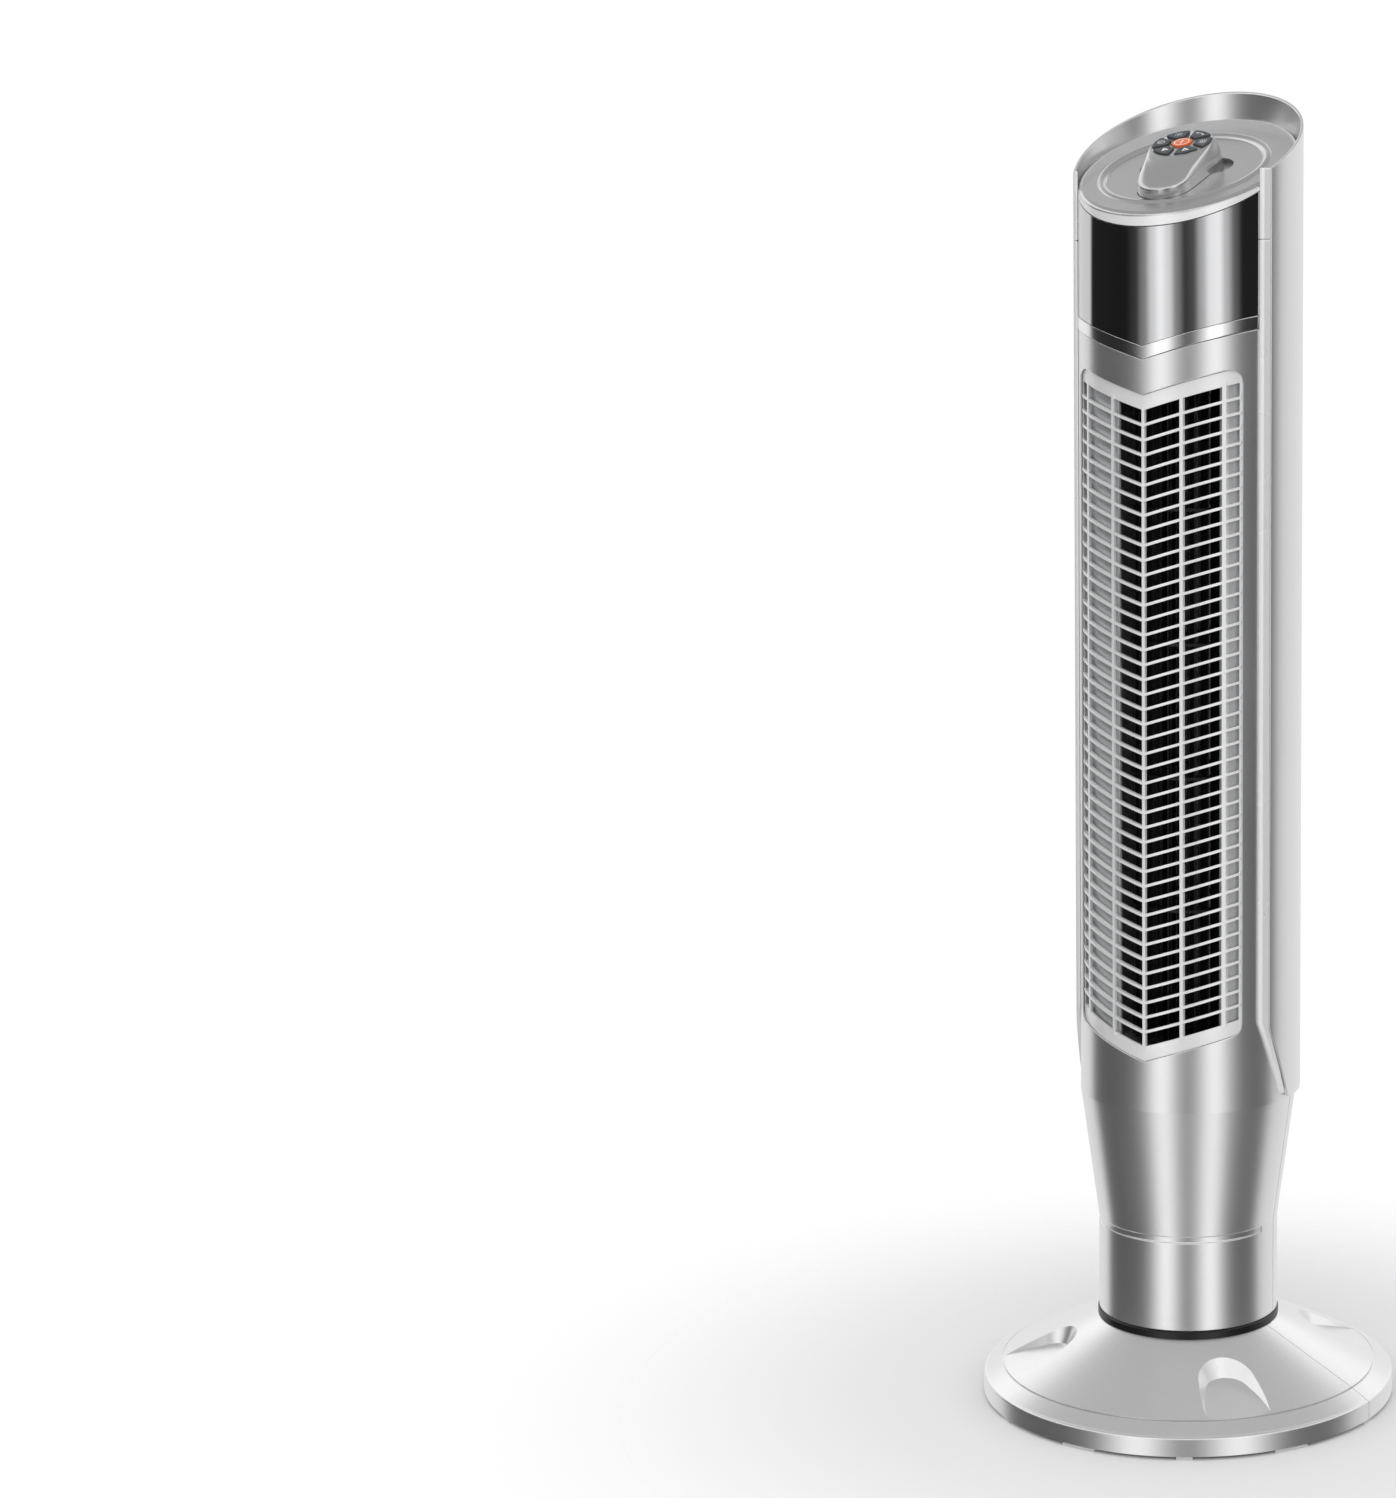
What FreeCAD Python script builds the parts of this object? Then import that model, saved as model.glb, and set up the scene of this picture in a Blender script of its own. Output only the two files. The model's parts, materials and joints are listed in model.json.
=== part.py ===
import FreeCAD, Part
import math
import os
import re
import Sketcher

# Tower fan: a tower that swings on a round base, with a cross-flow blower behind a
# chevron grille and a remote control docked in the sloping top.
# Frame: millimetres, +Z up, origin on the floor under the tower's axis, front towards -Y.
# Angles round the tower are counted from the front, positive towards +X.

# A size written as "=..." follows from other sizes.
SIZES = {
    # base
    "base_radius": 175,
    "foot_height": 3,
    "rim_height": 16,
    "rim_width": 16,
    "rim_edge": 2.5,
    "crown_rise": 8,
    "crown_groove": 1.4,
    "groove_half": 0.7,
    "seam_width": 0.5,
    "plate_height": 2,
    "boss_radius": 4,
    "wide_foot": 10,
    "narrow_foot": 4.4,
    "base_height": 66,
    "base_wall": 3,
    "base_turn": -7,
    "scoop_angle": 46.5,
    "scoop_length": 60,
    "scoop_half_width": 27,
    "scoop_tip": 18,
    "scoop_height": 20,
    "scoop_fall": 15,
    "scoop_taper": 40,
    "weight_outer": 120,
    "weight_inner": 70,
    "weight_height": 8,
    "cord_hole": 3.5,
    "grommet_wall": 2,
    # turntable
    "ring_height": 6.5,
    "ring_step": 1,
    "ring_width": 17,
    "spindle_radius": 24,
    "spindle_bore": 14,
    "ball_radius": 2.5,
    "gear_module": 1.5,
    "gear_teeth": 48,
    "pinion_teeth": 12,
    "gear_height": 6,
    "retainer_width": 8,
    "pinion_shaft": 2.5,
    "oscillator_radius": 21,
    "oscillator_height": 18,
    "oscillator_rise": 4,
    "ear_length": 56,
    "ear_width": 10,
    "ear_height": 2,
    "stand_radius": 3.4,
    # tower shells
    "column_radius": 76,
    "column_height": 80.5,
    "taper_height": 109,
    "body_radius": 91,
    "shell_wall": 2.6,
    "seam_angle": 95,
    "trim_groove": 5,
    "trim_groove_depth": 1,
    "cowl_wall": 2.6,
    "cowl_clearance": 1.4,
    "cowl_radius": "=body_radius + cowl_clearance + cowl_wall",
    "cowl_edge": 34,
    "cowl_sweep_height": 66,
    "cowl_sweep_back": 27,
    "cowl_rise": 11.95,
    "cowl_tilt": 28.8,
    "rail_width": 7.4,
    "rail_split_drop": 9.95,
    # grille
    "grille_rise": 41.6,
    "grille_half": 72.5,
    "grille_angle": 17.5,
    "grille_corner": 9,
    "grille_apron": 12.3,
    "bar_pitch": 12.15,
    "bar_gaps": 43,
    "bar_height": 2.3,
    "bar_depth": 4,
    "bar_proud": 1,
    "post_proud": 0.7,
    "frame_depth": 2.5,
    "frame_width": 2.4,
    "post_width": 2.6,
    "grille_inset": 2.2,
    # window, band and deck
    "band_rise": 28.4,
    "band_height": 10.8,
    "band_angle": 16.7,
    "band_proud": 0.5,
    "window_height": 94.8,
    "window_half": "=sqrt(body_radius * body_radius - (cowl_edge + rail_width * 0.57) ^ 2)",
    "window_tilt": 29.7,
    "window_wall": 2.4,
    "deck_front": 12.9,
    "deck_tilt": 25.2,
    "deck_edge": 4.5,
    "deck_slab": 9,
    "deck_wall": 2.5,
    "dish_radius": 69.5,
    "dish_depth": 1.2,
    "dish_shift": 9,
    "bead_half_width": 3.5,
    "bead_height": 1.4,
    # remote control
    "power_radius": 8.6,
    "key_rib": 3,
    "key_inner": "=power_radius + key_rib",
    "key_outer": 24.8,
    "key_gap": 4.6,
    "key_height": 4.6,
    "key_proud": 1.4,
    "key_travel": 1.1,
    "mat_height": 1.2,
    "cell_radius": 10,
    "cell_height": 3.2,
    "cover_radius": 13,
    "face_margin": 2.2,
    "face_radius": "=key_outer + face_margin",
    "head_slope": 3.5,
    "head_radius": "=face_radius + head_slope",
    "tail_radius": 24,
    "head_shift": 4.4,
    "remote_reach": 43,
    "remote_rise": 19.3,
    "remote_split": 4,
    "remote_depth": 5.5,
    "remote_wall": 1.8,
    "finger_radius": 17,
    "finger_reach": 10.5,
    # blower
    "impeller_radius": 52,
    "impeller_shift": 10,
    "blade_chord": 13,
    "blades": 28,
    "stages": 5,
    "shaft_radius": 4,
    "motor_radius": 42,
    "motor_height": 48,
    "duct_wall": 2,
    "mount_radius": 4,
    "mount_height": 4,
    "motor_plate_height": 4,
    "bearing_plate_height": 3,
    # electronics
    "board_thickness": 1.6,
    "power_board_height": 70,
    "display_board_height": 62,
    "capacitor_radius": 11,
    "capacitor_height": 34,
    "receiver_size": 8,
    "receiver_depth": 5,
    "ionizer_length": 34,
    "ionizer_depth": 12,
    "ionizer_height": 18,
    # fasteners
    "screw_radius": 1.5,
    "screw_head": 3,
    "screw_head_height": 1.5,
    # fits
    "gap": 0.3,
    "running": 0.05,
}

doc = FreeCAD.newDocument("tower_fan")
sheet = doc.addObject("Spreadsheet::Sheet", "Sizes")
for row, (alias, number) in enumerate(SIZES.items(), start=1):
    sheet.set(f"A{row}", alias)
    sheet.set(f"B{row}", str(number))
    sheet.setAlias(f"B{row}", alias)
doc.recompute()

X_AXIS = FreeCAD.Vector(1, 0, 0)
Y_AXIS = FreeCAD.Vector(0, 1, 0)
Z_AXIS = FreeCAD.Vector(0, 0, 1)
parts = []


def bound(text):
    """Turn size names into references to the sheet's cells."""
    return re.sub(r"[a-z][a-z_0-9]*", lambda m: "Sizes." + m[0] if m[0] in SIZES else m[0], str(text))


def value(text):
    result = sheet.evalExpression(bound(text))
    return float(getattr(result, "Value", result))


def bind(thing, prop, text):
    thing.setExpression(prop, bound(text))


def place(thing, x=0, y=0, z=0, turn=0, axis=Z_AXIS):
    """Turn a piece about an axis through its own origin, then move it."""
    thing.Placement = FreeCAD.Placement(FreeCAD.Vector(), FreeCAD.Rotation(axis, 1))
    bind(thing, ".Placement.Rotation.Angle", turn)
    for letter, text in zip("xyz", (x, y, z)):
        bind(thing, f".Placement.Base.{letter}", text)
    return thing


def on_deck(thing):
    """Put a piece drawn in the deck's frame (u across, v up the slope, w off the deck) on the deck."""
    return place(thing, z=DECK_AXIS, turn="deck_tilt", axis=X_AXIS)


# --- sketches -----------------------------------------------------------------


def add_outline(sketch, corners):
    """Closed outline. A corner is (x, y), or (x, y, radius, side) when an arc leads to it:
    side is 1 for an arc whose centre lies left of the way, -1 for one on the right."""
    count = len(corners)
    spots = [FreeCAD.Vector(value(c[0]), value(c[1]), 0) for c in corners]
    first = sketch.GeometryCount
    joins = []
    for i in range(count):
        start, end, corner = spots[i], spots[(i + 1) % count], corners[(i + 1) % count]
        if len(corner) == 2:
            sketch.addGeometry(Part.LineSegment(start, end), False)
            joins.append((1, 2))
            continue
        radius, side = value(corner[2]), corner[3]
        chord = end - start
        across = FreeCAD.Vector(-chord.y, chord.x, 0).normalize() * side
        reach = math.sqrt(max(radius**2 - (chord.Length / 2) ** 2, 0.0))
        centre = start + chord * 0.5 + across * reach
        ends = [math.atan2(p.y - centre.y, p.x - centre.x) for p in (start, end)]
        if side < 0:
            ends.reverse()
        circle = Part.Circle(centre, Z_AXIS, radius)
        sketch.addGeometry(Part.ArcOfCircle(circle, ends[0], ends[1]), False)
        joins.append((1, 2) if side > 0 else (2, 1))
    for i in range(count):
        after = (i + 1) % count
        pair = (first + i, joins[i][1], first + after, joins[after][0])
        sketch.addConstraint(Sketcher.Constraint("Coincident", *pair))
    for i, corner in enumerate(corners):
        for kind, text, spot in (("DistanceX", corner[0], spots[i].x), ("DistanceY", corner[1], spots[i].y)):
            rule = Sketcher.Constraint(kind, -1, 1, first + i, joins[i][0], spot)
            number = sketch.addConstraint(rule)
            bind(sketch, f"Constraints[{number}]", text)
        if len(corner) > 2:
            number = sketch.addConstraint(
                Sketcher.Constraint("Radius", first + (i - 1) % count, value(corner[2]))
            )
            bind(sketch, f"Constraints[{number}]", corner[2])


def add_circle(sketch, x, y, radius):
    spot = FreeCAD.Vector(value(x), value(y), 0)
    edge = sketch.addGeometry(Part.Circle(spot, Z_AXIS, value(radius)), False)
    for kind, text, number in (("DistanceX", x, spot.x), ("DistanceY", y, spot.y)):
        rule = sketch.addConstraint(Sketcher.Constraint(kind, -1, 1, edge, 3, number))
        bind(sketch, f"Constraints[{rule}]", text)
    rule = sketch.addConstraint(Sketcher.Constraint("Radius", edge, value(radius)))
    bind(sketch, f"Constraints[{rule}]", radius)


def add_sketch(body, role, outlines, offset=0):
    """Sketch on one of the body's origin planes. An outline is a list of corners or (x, y, radius)."""
    plane = next(f for f in body.Origin.OriginFeatures if f.Role == role + "_Plane")
    sketch = body.newObject("Sketcher::SketchObject", body.Name + "_sketch")
    sketch.AttachmentSupport = [(plane, "")]
    sketch.MapMode = "FlatFace"
    bind(sketch, ".AttachmentOffset.Base.z", offset)
    for outline in outlines:
        if isinstance(outline, tuple):
            add_circle(sketch, *outline)
        else:
            add_outline(sketch, outline)
    return sketch


def new_body(name):
    return doc.addObject("PartDesign::Body", name)


def turned(name, outlines, sector=360, facing=0):
    """Revolve outlines drawn as (radius, height). A sector is centred on the angle 'facing'."""
    body = new_body(name)
    sketch = add_sketch(body, "XZ", outlines)
    turning = body.newObject("PartDesign::Revolution", name + "_revolution")
    turning.Profile = sketch
    turning.ReferenceAxis = (sketch, ["V_Axis"])
    if sector == 360:
        turning.Angle = 360
        return place(body)
    turning.Midplane = True
    bind(turning, "Angle", sector)
    return place(body, turn=f"({facing}) - 90")


def padded(name, role, outlines, length, start=0, both_ways=False):
    """Pad outlines: XY pads rise along +Z, XZ pads run towards the front, YZ pads along +X."""
    body = new_body(name)
    sketch = add_sketch(body, role, outlines, start)
    pad = body.newObject("PartDesign::Pad", name + "_pad")
    pad.Profile = sketch
    bind(pad, "Length", length)
    if both_ways:
        pad.SideType = "Symmetric"
    return place(body)


def cylinder(name, radius, height, x=0, y=0, z=0):
    thing = doc.addObject("Part::Cylinder", name)
    bind(thing, "Radius", radius)
    bind(thing, "Height", height)
    return place(thing, x, y, z)


def box(name, length, width, height, x=0, y=0, z=0):
    """Box centred on x and y, standing on z."""
    thing = doc.addObject("Part::Box", name)
    for prop, text in (("Length", length), ("Width", width), ("Height", height)):
        bind(thing, prop, text)
    return place(thing, f"({x}) - ({length}) / 2", f"({y}) - ({width}) / 2", z)


def cut(name, base, *tools):
    """Part::Cut of a base with one tool or several."""
    result = doc.addObject("Part::Cut", name)
    result.Base = base
    result.Tool = tools[0] if len(tools) == 1 else fuse(name + "_tools", *tools)
    return result


def fuse(name, *pieces):
    result = doc.addObject("Part::MultiFuse", name)
    result.Shapes = list(pieces)
    return result


def common(name, *pieces):
    result = doc.addObject("Part::MultiCommon", name)
    result.Shapes = list(pieces)
    return result


def group(name, pieces):
    """Identical separate solids kept in one sub-part."""
    result = doc.addObject("Part::Compound", name)
    result.Links = list(pieces)
    return result


def part(thing, label):
    thing.Label = label
    parts.append(thing)
    return thing


def ring(inner, outer, low, high):
    """Rectangular section of a ring, as an outline for 'turned'."""
    return [(inner, low), (outer, low), (outer, high), (inner, high)]


def chevron(half, low, high, angle):
    """Region between two V lines whose lowest points are at low and high."""
    rise = f"({half}) * tan({angle})"
    return [
        (f"-({half})", f"({low}) + {rise}"),
        ("0", low),
        (half, f"({low}) + {rise}"),
        (half, f"({high}) + {rise}"),
        ("0", high),
        (f"-({half})", f"({high}) + {rise}"),
    ]


def rounded_chevron(half, low, high, angle, corner):
    """Chevron with its four side corners rounded."""
    rise = f"({half}) * tan({angle})"
    low_back = f"({corner}) / tan((90 + {angle}) / 2)"
    high_back = f"({corner}) / tan((90 - {angle}) / 2)"
    out = {}
    for level, back in ((low, low_back), (high, high_back)):
        out[level] = (f"({half}) - {back} * cos({angle})", f"({level}) + {rise} - {back} * sin({angle})")
    return [
        ("0", low),
        out[low],
        (half, f"({low}) + {rise} + {low_back}", corner, 1),
        (half, f"({high}) + {rise} - {high_back}"),
        (out[high][0], out[high][1], corner, 1),
        ("0", high),
        (f"-({out[high][0]})", out[high][1]),
        (f"-({half})", f"({high}) + {rise} - {high_back}", corner, 1),
        (f"-({half})", f"({low}) + {rise} + {low_back}"),
        (f"-({out[low][0]})", out[low][1], corner, 1),
    ]


# --- levels and radii that follow from the sizes -------------------------------

RIM_TOP = "(foot_height + rim_height)"
CROWN_RADIUS = "(base_radius - rim_width)"
CROWN_FOOT = f"({RIM_TOP} + crown_rise)"
RING_TOP = "(base_height + ring_height)"
COLUMN_FOOT = f"({RING_TOP} + gap)"
COLUMN_TOP = f"({RING_TOP} + column_height)"
BODY_FOOT = f"({COLUMN_TOP} + taper_height)"
RECESS_LOW = f"({BODY_FOOT} + grille_rise)"
OPENING_LOW = f"({RECESS_LOW} + grille_apron)"
OPENING_HIGH = f"({OPENING_LOW} + bar_pitch * bar_gaps)"
RECESS_HIGH = f"({OPENING_HIGH} + grille_apron)"
BAND_LOW = f"({RECESS_HIGH} + band_rise)"
WINDOW_LOW = f"({BAND_LOW} + band_height + gap)"
WINDOW_FRONT = f"({WINDOW_LOW} + window_height)"
DECK_AXIS = f"({WINDOW_FRONT} + deck_front + (body_radius - deck_edge) * tan(deck_tilt))"
COWL_AXIS = f"({DECK_AXIS} + cowl_rise)"
RAIL_SPLIT = f"({WINDOW_FRONT} - rail_split_drop)"
BODY_BORE = "(body_radius - shell_wall)"
COWL_BORE = "(cowl_radius - cowl_wall)"
COWL_FOOT = f"({BODY_FOOT} + 2)"
SHOULDER_BACK = "(body_radius / 3)"
TURNTABLE_TOP = f"({COLUMN_FOOT} + 4)"
GEAR_LOW = f"({TURNTABLE_TOP} + 2)"
GEAR_DISTANCE = "((gear_teeth + pinion_teeth) * gear_module / 2)"
MOTOR_PLATE = f"({RECESS_LOW} - 8)"
BEARING_PLATE = f"({RECESS_HIGH} + grille_half * tan(grille_angle) + 3)"
BLOWER_FOOT = f"({OPENING_LOW} - 8)"
BLOWER_TOP = f"({BEARING_PLATE} - 8)"


def slope_line(front_height, front_radius, tilt):
    """Height of a plane that climbs to the back, as a function of y."""
    return lambda y: f"({front_height}) + (({y}) + ({front_radius})) * tan({tilt})"


window_top = slope_line(WINDOW_FRONT, "body_radius", "window_tilt")
deck_top = slope_line(f"{DECK_AXIS} - body_radius * tan(deck_tilt)", "body_radius", "deck_tilt")
cowl_top = slope_line(f"{COWL_AXIS} - cowl_radius * tan(cowl_tilt)", "cowl_radius", "cowl_tilt")
SHOULDER = f"({window_top('-' + SHOULDER_BACK)})"


# --- base ----------------------------------------------------------------------


def base_profile(inset, floor):
    """Section of the base as (radius, height), drawn in by 'inset'."""
    return [
        ("0", floor),
        (f"base_radius - {inset}", floor),
        (f"base_radius - {inset}", f"{RIM_TOP} - rim_edge"),
        (f"base_radius - rim_edge - {inset} / 2", f"{RIM_TOP} - {inset} / 2", "rim_edge", 1),
        (f"{CROWN_RADIUS} - {inset} / 2", f"{CROWN_FOOT} - {inset}"),
        (f"column_radius + ring_step + 1", f"base_height - {inset}"),
        ("0", f"base_height - {inset}"),
    ]


def scoop(name, grow, angle):
    """Tapered tool that presses one shallow scoop into the crown. It widens as it rises."""
    side, tip = f"(scoop_half_width + {grow})", f"(scoop_tip + {grow})"
    inner = "(scoop_tip - scoop_length)"
    outline = [
        ("rim_width", f"-{side}"),
        ("rim_width", side),
        ("0", side),
        (inner, tip, "scoop_length * 2", 1),
        (inner, f"-{tip}", f"{tip} * 1.02", 1),
        ("0", f"-{side}", "scoop_length * 2", 1),
    ]
    body = padded(name, "XY", [outline], f"scoop_height + {grow}")
    sketch, pad = body.Group
    sketch.AttachmentOffset = FreeCAD.Placement(FreeCAD.Vector(), FreeCAD.Rotation(Y_AXIS, 1))
    bind(sketch, ".AttachmentOffset.Rotation.Angle", "scoop_fall")
    bind(sketch, ".AttachmentOffset.Base.x", CROWN_RADIUS)
    bind(sketch, ".AttachmentOffset.Base.z", f"{CROWN_FOOT} - {grow}")
    bind(pad, "TaperAngle", "scoop_taper")
    return place(body, turn=f"base_turn + ({angle}) - 90")


SCOOPS = ("scoop_angle", "-scoop_angle", "180 - scoop_angle", "180 + scoop_angle")

crown_outer = cut(
    "crown_outer",
    turned("crown_solid", [base_profile("0", "foot_height")]),
    *[scoop(f"scoop_{i}", "0", angle) for i, angle in enumerate(SCOOPS)],
    turned(
        "crown_groove",
        [
            ring(
                f"{CROWN_RADIUS} - groove_half",
                f"{CROWN_RADIUS} + groove_half",
                f"{CROWN_FOOT} - crown_groove",
                f"{CROWN_FOOT} + crown_groove * 2",
            )
        ],
    ),
)
crown_inner = cut(
    "crown_inner",
    turned("crown_hollow", [base_profile("base_wall", "foot_height - 1")]),
    *[scoop(f"scoop_back_{i}", "base_wall", angle) for i, angle in enumerate(SCOOPS)],
)
RING_INNER = "(column_radius + ring_step - ring_width)"
PLATE_TOP = "(foot_height + plate_height)"
BASE_SCREW_CIRCLE = "(base_radius - 25)"
BASE_SCREW_ANGLES = (0, 75, 105, 180, 255, 285)


def base_pins(name, radius, low, height):
    """One pin at each base screw."""
    return [
        cylinder(
            f"{name}_{angle}",
            radius,
            height,
            f"{BASE_SCREW_CIRCLE} * sin({angle} + base_turn)",
            f"-{BASE_SCREW_CIRCLE} * cos({angle} + base_turn)",
            low,
        )
        for angle in BASE_SCREW_ANGLES
    ]


crown_wall = cut(
    "crown_wall",
    crown_outer,
    crown_inner,
    cylinder("crown_hole", f"{RING_INNER} + 4", "20", z="base_height - 15"),
)
crown = cut(
    "crown",
    fuse(
        "crown_with_bosses",
        crown_wall,
        *base_pins("boss", "boss_radius", PLATE_TOP, f"{CROWN_FOOT} + plate_height - {PLATE_TOP}"),
    ),
    *base_pins("boss_hole", "screw_radius", "0", "20"),
)
CORD_LEVEL = "(foot_height + rim_height / 2 - 0.5)"
GROMMET_RADIUS = "(cord_hole + grommet_wall)"


def half_space(name, sign):
    """Large box on one side of the base's seam."""
    thing = doc.addObject("Part::Box", name)
    for prop in ("Length", "Height"):
        bind(thing, prop, "base_radius * 2.4")
    bind(thing, "Width", "base_radius * 1.2")
    across = "(-base_radius * 1.2)"
    along = "(-base_radius * 1.2 - seam_width / 2)" if sign < 0 else "(seam_width / 2)"
    return place(
        thing,
        f"{across} * cos(base_turn) - {along} * sin(base_turn)",
        f"{across} * sin(base_turn) + {along} * cos(base_turn)",
        "-base_radius * 0.2",
        "base_turn",
    )


def rear_plug(name, radius, start, length):
    """Cylinder along the base's own rear direction, at the cord's level."""
    body = padded(name, "XZ", [("0", CORD_LEVEL, radius)], length, f"-({start}) - ({length})")
    return place(body, turn="base_turn")


part(common("base_front", crown, half_space("front_half", -1)), "base_front_shell")
part(
    cut(
        "base_rear",
        common("base_rear_plain", crown, half_space("rear_half", 1)),
        rear_plug("cord_opening", GROMMET_RADIUS, "base_radius - 20", "40"),
    ),
    "base_rear_shell",
)
part(
    cut(
        "grommet",
        fuse(
            "grommet_solid",
            rear_plug("grommet_neck", GROMMET_RADIUS, "base_radius - 11", "12"),
            rear_plug("grommet_flange", f"{GROMMET_RADIUS} + 1.6", "base_radius - 11", "4"),
        ),
        rear_plug("grommet_bore", "cord_hole", "base_radius - 20", "40"),
    ),
    "cord_grommet",
)

part(
    cut(
        "plate",
        turned("plate_disc", [ring("20", "base_radius - base_wall - gap", "foot_height", PLATE_TOP)]),
        rear_plug("plate_notch", f"{GROMMET_RADIUS} + 4", "base_radius - 12", "20"),
        *base_pins("plate_hole", "screw_radius", "0", "20"),
    ),
    "base_bottom_plate",
)
base_screws = [
    fuse(f"base_screw_{i}", shank, head)
    for i, (shank, head) in enumerate(
        zip(
            base_pins("base_shank", "screw_radius", "foot_height - 1", "16"),
            base_pins("base_head", "screw_head", "foot_height - screw_head_height", "screw_head_height"),
        )
    )
]
part(group("base_screws", base_screws), "base_screws")
part(
    turned("weight", [ring("weight_inner", "weight_outer", PLATE_TOP, f"{PLATE_TOP} + weight_height")]),
    "base_weight",
)


def foot(name, angle, spread):
    """Curved pad under the rim."""
    shape = ring("base_radius - 12", "base_radius - 1.2", "0", "foot_height")
    return turned(name, [shape], spread, f"base_turn + {angle}")


feet = [foot(f"wide_pad_{i}", 60 * i, "wide_foot") for i in range(6)]
feet += [foot(f"narrow_pad_{i}", 60 * i + 30, "narrow_foot") for i in range(6)]
part(group("feet", feet), "rubber_feet")

part(
    turned(
        "spindle",
        [
            [
                ("spindle_bore", PLATE_TOP),
                ("spindle_radius + 22", PLATE_TOP),
                ("spindle_radius + 22", f"{PLATE_TOP} + 4"),
                ("spindle_radius + 3", f"{PLATE_TOP} + 8"),
                ("spindle_radius + 3", "base_height - 12"),
                (f"{RING_INNER} - 1", "base_height - 4"),
                (f"{RING_INNER} - 1", "base_height + 2"),
                ("spindle_radius", "base_height + 2"),
                ("spindle_radius", f"{GEAR_LOW} + gear_height"),
                ("spindle_bore", f"{GEAR_LOW} + gear_height"),
            ]
        ],
    ),
    "base_spindle",
)

# --- turntable --------------------------------------------------------------------

part(
    turned(
        "retainer",
        [
            ring(
                "spindle_radius",
                "spindle_radius + retainer_width",
                f"{TURNTABLE_TOP} + gap",
                f"{GEAR_LOW} - gap",
            )
        ],
    ),
    "turntable_retaining_ring",
)

part(
    turned(
        "black_ring",
        [
            [
                (RING_INNER, "base_height"),
                ("column_radius + ring_step", "base_height"),
                ("column_radius + ring_step", f"{RING_TOP} - 1"),
                ("column_radius + ring_step - 1", RING_TOP),
                (f"{RING_INNER} + ball_radius * 4", RING_TOP),
                (f"{RING_INNER} + ball_radius * 4", f"{RING_TOP} - ball_radius"),
                (RING_INNER, f"{RING_TOP} - ball_radius"),
            ]
        ],
    ),
    "turntable_ring",
)

BALL_COUNT = 24
BALL_CIRCLE = f"({RING_INNER} + ball_radius * 2)"


def ball(number):
    thing = doc.addObject("Part::Sphere", f"ball_{number}")
    bind(thing, "Radius", "ball_radius - running")
    angle = 360 / BALL_COUNT * number
    return place(
        thing,
        f"{BALL_CIRCLE} * cos({angle})",
        f"{BALL_CIRCLE} * sin({angle})",
        f"{RING_TOP} - running",
    )


part(group("balls", [ball(i) for i in range(BALL_COUNT)]), "turntable_bearing")


def gear_wire(teeth, turn, height):
    """Involute gear outline, with a tooth centred on the angle 'turn'."""
    module = value("gear_module")
    pitch = module * teeth / 2
    pressure = math.radians(20)
    circle = pitch * math.cos(pressure)
    tip = pitch + module * 0.95
    root = pitch - module * 1.25
    backlash = 0.12
    half = (math.pi * module / 2 - backlash) / pitch / 2
    involute = math.tan(pressure) - pressure

    def flank(radius):
        roll = math.acos(min(1.0, circle / radius))
        return half + involute - (math.tan(roll) - roll)

    foot_radius = max(circle, root)
    radii = [foot_radius + (tip - foot_radius) * i / 4 for i in range(5)]
    corners = []
    for tooth in range(teeth):
        centre = math.radians(turn) + 2 * math.pi * tooth / teeth
        sides = [(root, -flank(foot_radius))] + [(r, -flank(r)) for r in radii]
        sides += [(r, flank(r)) for r in reversed(radii)] + [(root, flank(foot_radius))]
        for radius, offset in sides:
            spot = FreeCAD.Vector(radius, 0, value(height))
            turning = FreeCAD.Rotation(Z_AXIS, math.degrees(centre + offset))
            corners.append(turning.multVec(spot))
    tidy = [corners[0]]
    for corner in corners[1:]:
        if corner.distanceToPoint(tidy[-1]) > 1e-4:
            tidy.append(corner)
    return Part.makePolygon(tidy + [tidy[0]])


def gear(name, teeth, bore, turn, low, height, x=0, y=0):
    """Spur gear on a bore, as its own solid."""
    blank = Part.Face(gear_wire(teeth, turn, low)).extrude(FreeCAD.Vector(0, 0, value(height)))
    hole = Part.makeCylinder(value(bore), value(height) + 2, FreeCAD.Vector(0, 0, value(low) - 1))
    thing = doc.addObject("Part::Feature", name)
    thing.Shape = blank.cut(hole)
    thing.Placement = FreeCAD.Placement(FreeCAD.Vector(value(x), value(y), 0), FreeCAD.Rotation())
    return thing


SUN_TEETH = int(value("gear_teeth"))
SUN_TURN = 90
PINION_TEETH = int(value("pinion_teeth"))
PINION_TURN = -90 + 180 / PINION_TEETH
part(
    gear("sun_gear", SUN_TEETH, "spindle_radius", SUN_TURN, GEAR_LOW, "gear_height"),
    "oscillation_gear",
)
part(
    gear(
        "pinion",
        PINION_TEETH,
        "pinion_shaft",
        PINION_TURN,
        GEAR_LOW,
        "gear_height",
        y=GEAR_DISTANCE,
    ),
    "oscillation_pinion",
)
OSCILLATOR_FOOT = f"({GEAR_LOW} + gear_height + oscillator_rise)"
part(
    cylinder("pinion_axle", "pinion_shaft", "gear_height + oscillator_height - 4", y=GEAR_DISTANCE, z=GEAR_LOW),
    "oscillation_motor_shaft",
)
part(
    cut(
        "oscillator",
        fuse(
            "oscillator_solid",
            cylinder(
                "oscillator_can",
                "oscillator_radius",
                "oscillator_height",
                y=GEAR_DISTANCE,
                z=OSCILLATOR_FOOT,
            ),
            box("oscillator_ears", "ear_length", "ear_width", "ear_height", y=GEAR_DISTANCE, z=OSCILLATOR_FOOT),
        ),
        cylinder(
            "oscillator_bore",
            "pinion_shaft + running",
            "oscillator_height - 4",
            y=GEAR_DISTANCE,
            z=f"{OSCILLATOR_FOOT} - 1",
        ),
    ),
    "oscillation_motor",
)
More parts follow.
